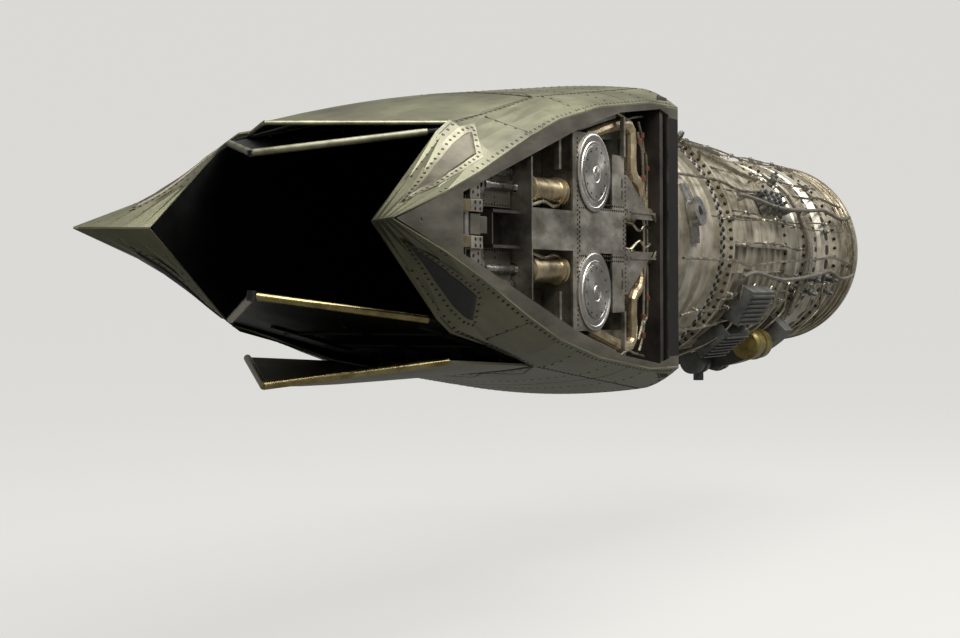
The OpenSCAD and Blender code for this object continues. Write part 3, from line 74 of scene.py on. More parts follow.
# Studio. A pale matt paper sweep lies under the engine and curves up behind it. An even sky and
# three soft boxes light it: one overhead, one high on the near side and one high at the front.
def sweep_sheet(across, along):
    """The sweep's height: level up to 12 m ahead, then rising with the square of the distance."""
    rise = np.where(along > 12, (along - 12) ** 2 / 60, 0.0) - 1.5
    return np.stack([along * math.cos(heading) - across * math.sin(heading),
                     along * math.sin(heading) + across * math.cos(heading), rise], -1)


across, along = np.meshgrid(np.linspace(-60, 60, 3), np.linspace(-30, 60, 40))
points = sweep_sheet(across, along)
rows, cols = across.shape
corner = (np.arange(rows - 1)[:, None] * cols + np.arange(cols - 1)).reshape(-1, 1)
floor = bpy.data.objects.new("floor", bpy.data.meshes.new("floor"))
floor.data.from_pydata(points.reshape(-1, 3), [], corner + np.array([0, 1, cols + 1, cols]))
floor.data.shade_smooth()
bpy.context.scene.collection.objects.link(floor)
paper = bpy.data.materials.new("matt background paper")
paper.use_nodes = True
shader = paper.node_tree.nodes["Principled BSDF"]
shader.inputs["Base Color"].default_value = srgb("#4f4e4b")
shader.inputs["Roughness"].default_value = 0.9
shader.inputs["Emission Color"].default_value = srgb("#e4e3df")
rays = add(paper.node_tree, "ShaderNodeLightPath")
mirrored_glow = add(paper.node_tree, "ShaderNodeMath", {"operation": "MULTIPLY", 1: 0.2},
                    {0: rays.outputs["Is Glossy Ray"]})
glow = add(paper.node_tree, "ShaderNodeMath", {"operation": "MULTIPLY_ADD", 1: 0.86},
           {0: rays.outputs["Is Camera Ray"], 2: mirrored_glow.outputs[0]})
paper.node_tree.links.new(glow.outputs[0], shader.inputs["Emission Strength"])
floor.data.materials.append(paper)
sky = bpy.data.worlds.new("even studio light")
sky.use_nodes = True
sky.node_tree.nodes["Background"].inputs["Color"].default_value = srgb("#eceef0")
seen = add(sky.node_tree, "ShaderNodeLightPath")
level_seen = add(sky.node_tree, "ShaderNodeMath", {"operation": "MULTIPLY_ADD", 1: 0.4, 2: 0.42},
                 {0: seen.outputs["Is Camera Ray"]})
backdrop = sky.node_tree.nodes["Background"]
sky.node_tree.links.new(level_seen.outputs[0], backdrop.inputs["Strength"])
bpy.context.scene.world = sky
for name, place, target, size, power in (
        ("overhead soft box", (-3.2, -2.2, 5.2), (-2.9, -0.2, 0), 4.5, 560),
        ("side soft box", (-5.2, -5.6, 5.4), (-3.2, 0, 0), 3.0, 430),
        ("front soft box", (2.2, -5.0, 4.6), (-1.2, 0, 0), 2.5, 230)):
    lamp = bpy.data.objects.new(name, bpy.data.lights.new(name, "AREA"))
    lamp.data.size = size
    lamp.data.energy = power
    lamp.location = place
    lamp.rotation_euler = (Vector(target) - Vector(place)).to_track_quat("-Z", "Y").to_euler()
    bpy.context.scene.collection.objects.link(lamp)


# Cases. The round body is a stack of machined aluminium and titanium cases, bolted flange to
# flange. The metal is bare, a warm silver with brown stains.
def worn_metal(name, shades, blotch_mm, metallic, rough, grain_mm=14.0, bump=0.25, streak=1.0):
    """Blotches in the given shades, each blotch_mm across and streak times as long along the
    engine, with finer grain in the relief and a gloss that follows the blotches."""
    metal = bpy.data.materials.new(name)
    metal.use_nodes = True
    tree = metal.node_tree
    shader = tree.nodes["Principled BSDF"]
    place = add(tree, "ShaderNodeTexCoord")
    stretch = add(tree, "ShaderNodeMapping", {"Scale": (1 / streak, 1, 1)},
                  {"Vector": place.outputs["Object"]})
    blotch = add(tree, "ShaderNodeTexNoise",
                 {"Scale": 1000 / blotch_mm, "Detail": 8.0, "Roughness": 0.65},
                 {"Vector": stretch.outputs["Vector"]})
    ramp = add(tree, "ShaderNodeValToRGB", (), {"Fac": blotch.outputs["Fac"]})
    stops = ramp.color_ramp.elements
    while len(stops) < len(shades):
        stops.new(0.5)
    for stop, (where, code) in zip(stops, shades):
        stop.position = where
        stop.color = srgb(code)
    tree.links.new(ramp.outputs["Color"], shader.inputs["Base Color"])
    shader.inputs["Metallic"].default_value = metallic
    grain = add(tree, "ShaderNodeTexNoise", {"Scale": 1000 / grain_mm, "Detail": 4.0},
                {"Vector": stretch.outputs["Vector"]})
    gloss = add(tree, "ShaderNodeMapRange",
                {"From Min": 0.3, "From Max": 0.7, "To Min": rough[0], "To Max": rough[1]},
                {"Value": blotch.outputs["Fac"]})
    tree.links.new(gloss.outputs["Result"], shader.inputs["Roughness"])
    relief = add(tree, "ShaderNodeBump", {"Strength": bump, "Distance": 0.002},
                 {"Height": grain.outputs["Fac"]})
    tree.links.new(relief.outputs["Normal"], shader.inputs["Normal"])
    return metal


def finish_nodes(material, *names):
    """One material over whole CAD nodes."""
    for name in names:
        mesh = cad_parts[name].data
        mesh.materials.clear()
        mesh.materials.append(material)


def shell(name, rings, material, body="engine", looped=False, sharp=35):
    """Copies of a closed surface: rings has the shape (copies, rings, points, 3). Neighbouring
    rings are joined by quads. A flat face closes each end, or the last ring joins the first. A
    copy whose signed volume is negative has its rings reversed, so that its faces look out."""
    m, n = rings.shape[1:3]
    middle = rings.mean((1, 2), keepdims=True)
    here, ahead = rings - middle, np.roll(rings, -1, axis=1) - middle
    if not looped:
        here, ahead = here[:, :-1], ahead[:, :-1]
    volume = np.einsum("cijk,cijk->c", here, np.cross(np.roll(here, -1, axis=2), ahead))
    rings = np.where((volume < 0)[:, None, None, None], rings[:, :, ::-1], rings)
    i, j = np.arange(m if looped else m - 1)[:, None], np.arange(n)[None, :]
    i2, k = (i + 1) % m, (j + 1) % n
    quads = np.stack([i * n + j, i * n + k, i2 * n + k, i2 * n + j], -1).reshape(-1, 4)
    caps = np.stack([np.arange(n)[::-1], (m - 1) * n + np.arange(n)])
    shift = (np.arange(len(rings)) * m * n)[:, None, None]
    faces = (quads + shift).reshape(-1, 4).tolist()
    if not looped:
        faces += (caps + shift).reshape(-1, n).tolist()
    mesh = bpy.data.meshes.new(name)
    mesh.from_pydata(rings.reshape(-1, 3), [], faces)
    mesh.shade_smooth()
    mesh.set_sharp_from_angle(angle=math.radians(sharp))
    mesh.materials.append(material)
    piece = bpy.data.objects.new(name, mesh)
    bpy.context.scene.collection.objects.link(piece)
    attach(piece, body)
    return piece


def studs(centres, normals, profile, sides):
    """Rings for turned heads: profile is a list of (radius, height), carried round each centre's
    normal, in metres. One normal serves all centres, or there is one for each. The radius never
    reaches zero, so each end is a small flat."""
    centres, normals = np.atleast_2d(centres), np.atleast_2d(normals)
    normals = normals / np.linalg.norm(normals, axis=1, keepdims=True)
    helper = np.where(np.abs(normals[:, [2]]) < 0.9, [[0.0, 0.0, 1.0]], [[1.0, 0.0, 0.0]])
    a = np.cross(normals, helper)
    a /= np.linalg.norm(a, axis=1, keepdims=True)
    b = np.cross(normals, a)
    turn = np.arange(sides) * 2 * math.pi / sides
    r, h = np.array(profile).T
    ring = a[:, None, :] * np.cos(turn)[:, None] + b[:, None, :] * np.sin(turn)[:, None]
    rim = centres[:, None, None] + ring[:, None] * r[:, None, None]
    return rim + normals[:, None, None] * h[:, None, None]


def polar(r, degrees, s):
    """Points at radius r, an angle from straight up towards the left, and a station s aft, in mm."""
    r, a, s = np.broadcast_arrays(np.asarray(r, float), np.radians(degrees), np.asarray(s, float))
    return np.stack([-s, r * np.sin(a), r * np.cos(a)], -1) / 1000


machined = [(0.26, "#6b6455"), (0.4, "#9c9584"), (0.55, "#bfb8a8"), (0.75, "#d9d4c6")]
case_metal = worn_metal("machined aluminium", machined, 160, 0.75, (0.26, 0.42), streak=0.5)
finish_nodes(case_metal, "inlet_case", "fan_stators", "intermediate_case", "compressor_case",
             "diffuser_case", "turbine_case", "exhaust_case", "fan_duct_upper", "fan_duct_lower",
             "augmentor_duct", "transition_duct", "oil_tank")


def zones(material):
    """The material's node tree, and its object coordinates in three outputs."""
    tree = material.node_tree
    place = [n for n in tree.nodes if n.bl_idname == "ShaderNodeTexCoord"][0]
    return tree, add(tree, "ShaderNodeSeparateXYZ", (), {0: place.outputs["Object"]})


def paint_over(tree, mask, code):
    """A second colour over the base colour where the mask is one."""
    shader = tree.nodes["Principled BSDF"]
    paint = shader.inputs["Base Color"].links[0].from_socket
    mixed = add(tree, "ShaderNodeMix", {"data_type": "RGBA", 7: srgb(code)}, {0: mask, 6: paint})
    tree.links.new(mixed.outputs[2], shader.inputs["Base Color"])


# The fan case's two rows of pockets are painted near-black inside, below the case's outer surface:
# painted shade in the recesses.
pocketed = worn_metal("machined aluminium with painted pocket shade", machined, 160, 0.75,
                      (0.36, 0.52), streak=0.5)
tree, parts = zones(pocketed)
radial = add(tree, "ShaderNodeCombineXYZ", (), {1: parts.outputs["Y"], 2: parts.outputs["Z"]})
radius = add(tree, "ShaderNodeVectorMath", {"operation": "LENGTH"}, {0: radial.outputs[0]})
masks = []
for middle, half, skin in ((-0.563, 0.0185, 0.4885), (-0.723, 0.0145, 0.4765)):
    near = add(tree, "ShaderNodeMath", {"operation": "COMPARE", 1: middle, 2: half},
               {0: parts.outputs["X"]})
    deep = add(tree, "ShaderNodeMath", {"operation": "LESS_THAN", 1: skin},
               {0: radius.outputs["Value"]})
    masks.append(add(tree, "ShaderNodeMath", {"operation": "MULTIPLY"},
                     {0: near.outputs[0], 1: deep.outputs[0]}))
pocket_shade = add(tree, "ShaderNodeMath", {"operation": "MAXIMUM"},
             {0: masks[0].outputs[0], 1: masks[1].outputs[0]})
# Painted shade: the pockets' insides are near-black.
paint_over(tree, pocket_shade.outputs[0], "#14120f")
finish_nodes(pocketed, "fan_case")
bolt_steel = worn_metal("blackened steel", [(0.3, "#15130f"), (0.6, "#3a352c"), (0.8, "#5b5446")],
                        40, 0.8, (0.3, 0.5))
hexagon = [(0.0095, -0.001), (0.0095, 0.001), (0.007, 0.0015), (0.007, 0.008), (0.005, 0.0095),
           (0.0015, 0.0095)]
for name, r, s, count in (("inlet_flange_bolts", 466, 336, 60), ("fan_flange_bolts", 465, 874, 60),
                          ("core_flange_bolts", 468, 1194, 64), ("duct_flange_bolts", 536, 2164, 84),
                          ("nozzle_flange_bolts", 535, 2864, 84)):
    angles = np.arange(count) * 360 / count + 2
    shell(name, studs(polar(r, angles, s), (-1, 0, 0), hexagon, 6), bolt_steel)
angles = np.arange(90) * 4.0
band = np.concatenate([polar(544, angles, 2284), polar(544, angles + 2, 2316)])
outward = np.concatenate([polar(1000, angles, 0), polar(1000, angles + 2, 0)])
low_head = [(0.012, -0.002), (0.012, 0.003), (0.009, 0.006), (0.002, 0.006)]
shell("lug_ring_bolts", studs(band, outward, low_head, 8), bolt_steel)

# Blades and shafts. The fan, compressor and turbine blades are forged, polished titanium and
# nickel alloy, and the shafts are ground steel: clean and bright, since they sit inside.
steel = worn_metal("polished forged alloy", [(0.3, "#6d6a64"), (0.6, "#a3a09a"), (0.8, "#b9b6af")],
                   60, 0.9, (0.2, 0.36))
finish_nodes(steel, "side_mounts", "top_lugs", "fan_stage_1", "fan_stage_2", "fan_stage_3",
             "compressor_rotor", "low_shaft", "low_turbine", "high_turbine", "tower_shaft",
             "main_bearings")

# Hot parts. The combustor, turbine nozzle, tail cone and augmentor are sheet nickel alloy that
# heat has tinted straw and brown.
hot = worn_metal("heat-tinted nickel alloy", [(0.25, "#5d4f3a"), (0.45, "#a08f70"),
                                              (0.6, "#c6b592"), (0.8, "#e0d3b6")],
                 120, 0.9, (0.22, 0.4))
finish_nodes(hot, "combustor_liner", "turbine_nozzle", "tail_cone", "flame_holder", "augmentor_liner",
             "fuel_nozzles")

# Accessories. The gearbox, pumps, starter and control units are cast housings in grey enamel.
grey = worn_metal("grey enamel on castings", [(0.3, "#3d3d3a"), (0.6, "#62625d"), (0.8, "#7d7e77")],
                  80, 0.4, (0.35, 0.55))
finish_nodes(grey, "nose_cone", "gearbox", "starter", "fuel_pump", "hydraulic_pump", "control_units")
can = worn_metal("olive-gold chromate", [(0.3, "#5a4f28"), (0.6, "#8a7a42"), (0.8, "#a8985a")],
                 60, 0.6, (0.25, 0.4))
finish_nodes(can, "generator")

# Tubes and harness. Bent steel tubes and braided looms run along the cases in clamps.
tube_steel = worn_metal("bent stainless tube", [(0.3, "#6b6252"), (0.55, "#a39a86"), (0.8, "#d0c9b6")],
                        70, 0.95, (0.18, 0.34))
finish_nodes(tube_steel, "tube_runs")
loom = worn_metal("braided loom", [(0.3, "#4a463e"), (0.7, "#8d877a")], 12, 0.7, (0.4, 0.6))
finish_nodes(loom, "wiring_harness")


def curve_through(points, count):
    """A smooth path through the given points, in metres: a Catmull-Rom blend of four at a time."""
    p = np.asarray(points, float)
    p = np.concatenate([[2 * p[0] - p[1]], p, [2 * p[-1] - p[-2]]])
    t = np.linspace(0, len(p) - 3 - 1e-9, count)
    i, u = t.astype(int), (t % 1)[:, None]
    a, b, c, d = p[i], p[i + 1], p[i + 2], p[i + 3]
    return 0.5 * (2 * b + (c - a) * u + (2 * a - 5 * b + 4 * c - d) * u ** 2
                  + (3 * b - a - 3 * c + d) * u ** 3)


def tube(path, radius, beside, sides=10):
    """Rings of a round tube: a circle carried along the path, square to it. The circle is set by
    a direction beside the path, one for all or one for each point."""
    step = np.gradient(path, axis=0)
    step /= np.linalg.norm(step, axis=1, keepdims=True)
    a = np.cross(step, beside)
    a /= np.linalg.norm(a, axis=1, keepdims=True)
    b = np.cross(step, a)
    turn = np.arange(sides) * 2 * math.pi / sides
    circle = a[:, None] * np.cos(turn)[:, None] + b[:, None] * np.sin(turn)[:, None]
    return (path[:, None] + radius * circle)[None]


def smoothed(reach):
    """The mean of fifteen neighbours, so that a tube passes over a flange in an easy bend."""
    return np.convolve(np.pad(reach, 7, "edge"), np.ones(15) / 15, "valid")


# The cases' outer line: stations aft of the inlet face and the radii there, in mm.
case_line = ([0, 14, 60, 336, 350, 490, 498, 600, 620, 694, 756, 846, 874, 950, 1166, 1194, 1230,
              1500, 2136, 2164, 2180, 2268, 2332, 2470, 2482, 2600, 2700, 2836, 2864],
             [498, 484, 484, 484, 474, 474, 492, 492, 474, 480, 480, 478, 476, 470, 480, 478, 484,
              504, 520, 550, 550, 524, 546, 534, 534, 546, 546, 548, 548])
# Each tube has a bearing, its end stations, its lift off the case, its radius, and the width in
# degrees and the number of the waves in its path.
runs = []
for bearing, first, last, lift, radius, wander, waves in (
        (-24, 350, 2120, 24, 4, 0.8, 2.0), (-27, 350, 1900, 24, 4, 0.8, 2.0),
        (-47, 360, 1500, 24, 4, 1.0, 2.0), (-50, 420, 1480, 24, 3, 1.0, 2.0),
        (-75, 360, 2100, 22, 4, 0.8, 2.5), (-78, 300, 2440, 22, 3, 0.8, 2.5),
        (-90, 900, 2120, 22, 4, 1.0, 2.0), (-112, 380, 1240, 24, 6, 1.4, 2.0),
        (-116, 400, 2240, 24, 4, 1.4, 2.0), (-124, 900, 2600, 22, 6, 1.6, 2.5),
        (-131, 1300, 2700, 24, 8, 1.5, 1.5), (-8, 360, 2000, 22, 4, 0.8, 2.0),
        (8, 700, 2500, 24, 5, 1.0, 2.0), (26, 360, 2100, 22, 4, 1.0, 2.0),
        (74, 400, 2120, 22, 4, 1.0, 2.0), (108, 900, 2500, 24, 6, 1.4, 2.0),
        (156, 1300, 2650, 22, 5, 1.4, 2.0)):
    share = np.linspace(0, 1, 70)
    station = first + (last - first) * share
    swing = wander * np.tanh(2 * np.sin(math.pi * waves * share + bearing))
    reach = smoothed(np.interp(station, *case_line) + lift)
    runs.append((polar(reach, bearing + swing, station), radius, bearing))
rings = np.concatenate([tube(path, radius / 1000, polar(1000, bearing, 0), 8)
                        for path, radius, bearing in runs])
shell("case_tubes", rings, tube_steel)
spots = np.concatenate([path[[8, 26, 44, 62]] for path, radius, bearing in runs])
outward = spots * [0, 1, 1]
rings = studs(spots - outward / np.linalg.norm(outward, axis=1, keepdims=True) * 0.012, outward,
              [(0.006, -0.012), (0.006, 0.0), (0.009, 0.004), (0.009, 0.016), (0.004, 0.019)], 8)
shell("case_tube_clamps", rings, case_metal)
spots = np.concatenate([path[[10, 36, 60]] for path, radius, bearing in runs])
steps = np.concatenate([path[[11, 37, 61]] - path[[9, 35, 59]] for path, radius, bearing in runs])
union = [(0.008, -0.02), (0.008, -0.008), (0.0115, -0.007), (0.0115, 0.007),
         (0.008, 0.008), (0.008, 0.02)]
shell("case_tube_unions", studs(spots, steps, union, 6), steel)
# Round connectors and small valves stand in rows on the cases, among the tubes.
angles = np.concatenate([np.tile([-62, -66, -70], 4), [-43, -47],
                         np.tile([-108, -116], 3), [62, 66, 70]])
station = np.concatenate([np.repeat([1270, 1370, 1470, 1570], 3), [1010, 1090],
                          np.repeat([430, 760, 960], 2), [1300, 1400, 1500]])
outward = polar(1000, angles, 0)
spots = polar(np.interp(station, *case_line), angles, station)
connector = [(0.021, -0.004), (0.021, 0.012), (0.015, 0.014), (0.015, 0.03), (0.018, 0.031),
             (0.018, 0.042), (0.009, 0.046), (0.009, 0.062)]
shell("case_connectors", studs(spots, outward, connector, 14), grey)
# Dark inserts fill the fan case's pockets as painted shade: rounded plates bent to the case, 0.8 mm
# proud.
turn = np.arange(20) * 2 * math.pi / 20
squareness = 0.45
corner_x = np.sign(np.cos(turn)) * np.abs(np.cos(turn)) ** squareness
corner_y = np.sign(np.sin(turn)) * np.abs(np.sin(turn)) ** squareness
black = worn_metal("black enamel on steel", [(0.3, "#14110e"), (0.7, "#38312a")], 100, 0.3, (0.4, 0.65))
for name, count, r, s, long, wide in (("large_pocket_shade_inserts", 40, 490, 563, 30, 22),
                                      ("small_pocket_shade_inserts", 56, 478, 723, 21, 13)):
    bearing = np.arange(count)[:, None, None] * 360 / count + 90
    height = np.array([-3, 0.4, 0.8])[:, None]
    share = np.array([1, 1, 0.93])[:, None]
    around = bearing + np.degrees(wide / r) * corner_y * share
    shell(name, polar(r + height, around, s + long * corner_x * share), black)

# Below the cases, tube loops run round to the gearbox and its pumps.
loops = []
for k in range(16):
    share = np.linspace(0, 1, 60)
    bearing = -110 - 50 * share if k % 2 else 106 + 46 * share
    station = 470 + 98 * k + 34 * np.sin(2 * math.pi * share * (1 + k % 3) + k)
    reach = np.interp(station, *case_line) + 20 + 26 * np.sin(math.pi * share) ** 2 + 5 * (k % 4)
    path = polar(smoothed(reach), bearing, station)
    loops.append(tube(path, 0.005 + 0.0015 * (k % 3), (1, 0, 0), 8))
shell("under_tubes", np.concatenate(loops), tube_steel)

# Two braided hoses cross the fan case and drop to the gearbox.
hose = [curve_through(polar([492, 512, 520, 515, 540], angle, station), 50)
        for angle, station in (((-40, -58, -80, -100, -128), (1090, 1060, 1010, 980, 1000)),
                               ((-70, -88, -104, -120, -140), (950, 930, 940, 965, 1010)))]
rings = np.concatenate([tube(path, 0.014, (1, 0, 0)) for path in hose])
shell("oil_hoses", rings, loom)

# Nozzle box. The bulkhead at its front is steel under black enamel. Aft of it thin steel tubes
# climb the bulkhead's face on brown clamps.
finish_nodes(black, "nozzle_bulkhead")


def mirrored(rings, axis):
    """The rings and their mirror image: axis 1 adds the other side, axis 2 adds the one below."""
    flip = np.ones(3)
    flip[axis] = -1
    return np.concatenate([rings, rings * flip])


def at(s, y, z):
    """Points from stations and offsets in mm to metres."""
    return np.stack(np.broadcast_arrays(-np.asarray(s, float), y, z), -1) / 1000


def metres(points):
    """Points given in mm as station, offset and height, in metres."""
    return np.array(points) * [-1, 1, 1] / 1000


climbing = [[(3150, 540, -448), (3118, 540, -400), (3096, 540, -340), (3068, 540, -300),
             (3066, 540, -100), (3066, 540, 100), (3068, 540, 300), (3096, 540, 340),
             (3118, 540, 400), (3150, 540, 448)],
            [(3204, 560, -402), (3160, 560, -330), (3150, 560, -250), (3146, 560, -120),
             (3146, 560, 0), (3146, 560, 120), (3150, 560, 250), (3160, 560, 330),
             (3190, 560, 370), (3204, 560, 402)]]
paths = [curve_through(metres(p), 60) + [-0.075, 0, 0] for p in climbing]
rings = np.concatenate([tube(path, 0.006, (0, 1, 0)) for path in paths])
shell("bulkhead_tubes", mirrored(rings, 1), tube_steel)
spots = np.concatenate([path[[8, 22, 38, 52]] for path in paths])
rings = studs(spots, (0, 0, 1), [(0.011, -0.01), (0.011, 0.01)], 10)
brown = worn_metal("brown cushioned clamp", [(0.3, "#3a1f12"), (0.7, "#6a3a22")], 30, 0.1,
                   (0.5, 0.7))
shell("bulkhead_clamps", mirrored(rings, 1), brown)

# Side bay. Milled titanium webs and a riveted main panel carry the flap actuators, with turned
# aluminium covers over the pivots. All of it is bare metal, brushed and stained brown.
bay_metal = worn_metal("brushed titanium plate", [(0.25, "#4c4841"), (0.45, "#7b766b"),
                                                  (0.6, "#979185"), (0.8, "#b9b3a6")],
                       80, 0.85, (0.3, 0.5), streak=2)
finish_nodes(bay_metal, "side_panels", "bay_webs")
wall_metal = worn_metal("titanium wall with a sooty inner face",
                        [(0.25, "#4c4841"), (0.45, "#7b766b"), (0.8, "#b9b3a6")],
                        130, 0.5, (0.4, 0.6))
tree, parts = zones(wall_metal)
offset = add(tree, "ShaderNodeMath", {"operation": "ABSOLUTE"}, {0: parts.outputs["Y"]})
inside = add(tree, "ShaderNodeMath", {"operation": "LESS_THAN", 1: 0.434}, {0: offset.outputs[0]})
paint_over(tree, inside.outputs[0], "#0d0c0b")
finish_nodes(wall_metal, "sidewalls")
frame_metal = worn_metal("grey-brown finish on titanium",
                         [(0.25, "#3a3730"), (0.5, "#5f5a4f"), (0.75, "#7f796c")],
                         150, 0.7, (0.32, 0.5), streak=3)
# The frame's front post is black like the bulkhead behind it.
tree, parts = zones(frame_metal)
height = add(tree, "ShaderNodeMath", {"operation": "ABSOLUTE"}, {0: parts.outputs["Z"]})
ahead = add(tree, "ShaderNodeMath", {"operation": "GREATER_THAN", 1: -3.064},
            {0: parts.outputs["X"]})
below = add(tree, "ShaderNodeMath", {"operation": "LESS_THAN", 1: 0.474},
            {0: height.outputs[0]})
post = add(tree, "ShaderNodeMath", {"operation": "MULTIPLY"},
           {0: ahead.outputs[0], 1: below.outputs[0]})
paint_over(tree, post.outputs[0], "#1d1a16")
finish_nodes(frame_metal, "side_frames")
cover_metal = worn_metal("turned aluminium", [(0.3, "#94908a"), (0.55, "#b5b1a9"), (0.8, "#d2cec6")],
                         90, 0.95, (0.24, 0.36))
cover_s, cover_z = 3738, 215
tree, parts = zones(cover_metal)
from_x = add(tree, "ShaderNodeMath", {"operation": "ADD", 1: cover_s / 1000},
             {0: parts.outputs["X"]})
height = add(tree, "ShaderNodeMath", {"operation": "ABSOLUTE"}, {0: parts.outputs["Z"]})
from_z = add(tree, "ShaderNodeMath", {"operation": "SUBTRACT", 1: cover_z / 1000},
             {0: height.outputs[0]})
# The turning marks run round the centre, so the highlight spreads across them.
spoke = add(tree, "ShaderNodeCombineXYZ", (), {0: from_x.outputs[0], 2: from_z.outputs[0]})
round_about = add(tree, "ShaderNodeVectorMath", {"operation": "CROSS_PRODUCT", 1: (0, 1, 0)},
                  {0: spoke.outputs[0]})
shader = tree.nodes["Principled BSDF"]
shader.inputs["Anisotropic"].default_value = 0.85
tree.links.new(round_about.outputs["Vector"], shader.inputs["Tangent"])
finish_nodes(cover_metal, "pivot_covers")


def row(line, pitch):
    """Points pitch apart along a broken line of any number of coordinates, half a pitch in."""
    line = np.asarray(line, float)
    run = np.r_[0, np.cumsum(np.linalg.norm(np.diff(line, axis=0), axis=1))]
    along = np.arange(pitch / 2, run[-1], pitch)
    return np.stack([np.interp(along, run, line[:, k]) for k in range(line.shape[1])], -1)


def arc(s, z, r, start, end, count=24):
    """A broken line round part of a circle in the bay's plane."""
    a = np.radians(np.linspace(start, end, count))
    return np.stack([s + r * np.cos(a), z + r * np.sin(a)], -1)


def four_ways(rings):
    """The rings on both sides of the engine, above its axis and below."""
    return mirrored(mirrored(rings, 1), 2)


# The panel's rivets follow its edges, its two joints and the lower half of each cover.
lines = [[(3456, 86), (3870, 86)], [(3456, 102), (3640, 102)], [(3450, 0), (3450, 300)],
         [(3872, 0), (3872, 340)], arc(cover_s, cover_z, 140, 200, 340),
         [(3466, 60), (3466, -60)], [(3856, 78), (3856, -78)]]
sz = np.concatenate([row(line, 17) for line in lines])
centres = at(sz[:, 0], 582, sz[:, 1])
dome = [(0.0045, -0.001), (0.0045, 0.0006), (0.003, 0.002), (0.001, 0.0024)]
rings = studs(centres, (0, 1, 0), dome, 8)
dark_rivet = worn_metal("stained rivet steel", [(0.3, "#17140f"), (0.7, "#3b362c")], 30, 0.8,
                        (0.35, 0.55))
shell("panel_rivets", four_ways(rings), dark_rivet)
ring = np.radians(np.arange(12) * 30)
centres = at(cover_s + 86 * np.cos(ring), 594.5, cover_z + 86 * np.sin(ring))
rings = studs(centres, (0, 1, 0), dome, 8)
shell("cover_bolts", four_ways(rings), dark_rivet)


def box_rings(low, high, bevel=0.0015):
    """A box between two corners in mm, as rings along y, with its outer and inner edges bevelled."""
    s0, y0, z0 = np.minimum(low, high)
    s1, y1, z1 = np.maximum(low, high)
    b = bevel * 1000
    ys = np.array([y0, y0 + b, y1 - b, y1])
    ins = np.array([b, 0, 0, b])
    rings = [[(s0 + i, y, z0 + i), (s1 - i, y, z0 + i), (s1 - i, y, z1 - i), (s0 + i, y, z1 - i)]
             for y, i in zip(ys, ins)]
    return metres(rings)[None]


# The two hinge blocks of the side frame: a chromate-green knuckle, a drilled plate and, between
# them, the bright hinge bar.
green_block = worn_metal("chromated hinge block",
                         [(0.3, "#3f3826"), (0.6, "#665c40"), (0.8, "#857955")],
                         40, 0.5, (0.35, 0.5))
knuckle = box_rings((4686, 560, 37), (4745, 600, 75))
shell("hinge_knuckles", four_ways(knuckle), green_block)
plates = np.concatenate([box_rings((4607, 572, 80), (4672, 590, 130)),
                         box_rings((4607, 580, 38), (4684, 598, 78))])
shell("hinge_plates", four_ways(plates), bay_metal)
middle = np.concatenate([box_rings((4611, 560, -33), (4676, 592, 33)),
                         box_rings((4556, 568, -28), (4602, 586, 26))])
shell("hinge_cover", mirrored(middle, 1), frame_metal)
bar = at([4692] * 9, 580, np.linspace(-36, 36, 9))
shell("hinge_bar", mirrored(tube(bar, 0.012, (0, 1, 0), 16), 1), steel)
holes = at([4624, 4656, 4624, 4656, 4624, 4656, 4624], [598, 598, 598, 598, 590, 590, 590],
           [48, 48, 68, 68, 92, 100, 116])
rings = studs(holes, (0, 1, 0), [(0.006, -0.001), (0.006, 0.0008), (0.002, 0.001)], 10)
shell("hinge_screws", four_ways(rings), dark_rivet)
slots = np.concatenate([box_rings((s, 581, z - half), (s + wide, 582.6, z + half), 0.0004)
                        for s, wide, z, half in ((3474, 12, 191, 16), (3474, 12, 147, 16),
                                                 (3428, 10, 248, 9), (3428, 10, 89, 9))])
shell("panel_slots", four_ways(slots), black)


def slab(outline, y0, y1, bevel=1.5):
    """A plate between two depths in mm: its outline's (station, height) corners, drawn in a
    little at both faces."""
    outline = np.asarray(outline, float)
    middle = outline.mean(0)
    reach = np.linalg.norm(outline - middle, axis=1, keepdims=True)
    inset = outline + (middle - outline) * bevel / reach
    rings = [at(line[:, 0], y, line[:, 1])
             for line, y in ((inset, y0), (outline, y0 + bevel), (outline, y1 - bevel), (inset, y1))]
    return np.array(rings)[None]


def along_line(start, end, half):
    """The four corners of a strip along a line, half wide to each side."""
    start, end = np.array(start, float), np.array(end, float)
    across = np.array([-(end - start)[1], (end - start)[0]]) / np.linalg.norm(end - start) * half
    return [start - across, end - across, end + across, start + across]


# The bulkhead's flange closes the bay's front: a black strip with a bright edge in the bay's bare metal
# colour. Slim struts run aft from it, and fine joints part the side frame.
flange = slab([(3004, -560), (3004, 560), (3098, 560), (3098, -560)], 566, 570)
shell("bulkhead_flanges", mirrored(flange, 1), black)
bright_edge = slab([(3094, -556), (3094, 556), (3100, 556), (3100, -556)], 570, 573, 0.5)
nose = np.concatenate([slab(along_line((3156, 88), (3076, 3), 6), 571, 578),
                       slab(along_line((3400, 88), (3156, 88), 4), 583, 586)])
shell("bay_nose_struts", four_ways(nose), bay_metal)
shell("flange_edges", mirrored(bright_edge, 1), bay_metal)
lines = [[(3838, 388), (3843, 441)], [(4181, 308), (4187, 352)]]
paired = np.concatenate([slab(along_line(*line, 1.2), 601.2, 601.9, 0.1) for line in lines])
level_seam = slab(along_line((4762, -3), (4986, -3), 1.2), 601.2, 601.9, 0.1)
seams = np.concatenate([mirrored(paired, 2), level_seam])
shell("side_frame_seams", mirrored(seams, 1), black)
washer = studs(at(4997, 600.5, 0), (0, 1, 0),
               [(0.013, -0.001), (0.013, 0.001), (0.008, 0.001), (0.0075, -0.0005)], 20)
shell("tip_washers", mirrored(washer, 1), steel)
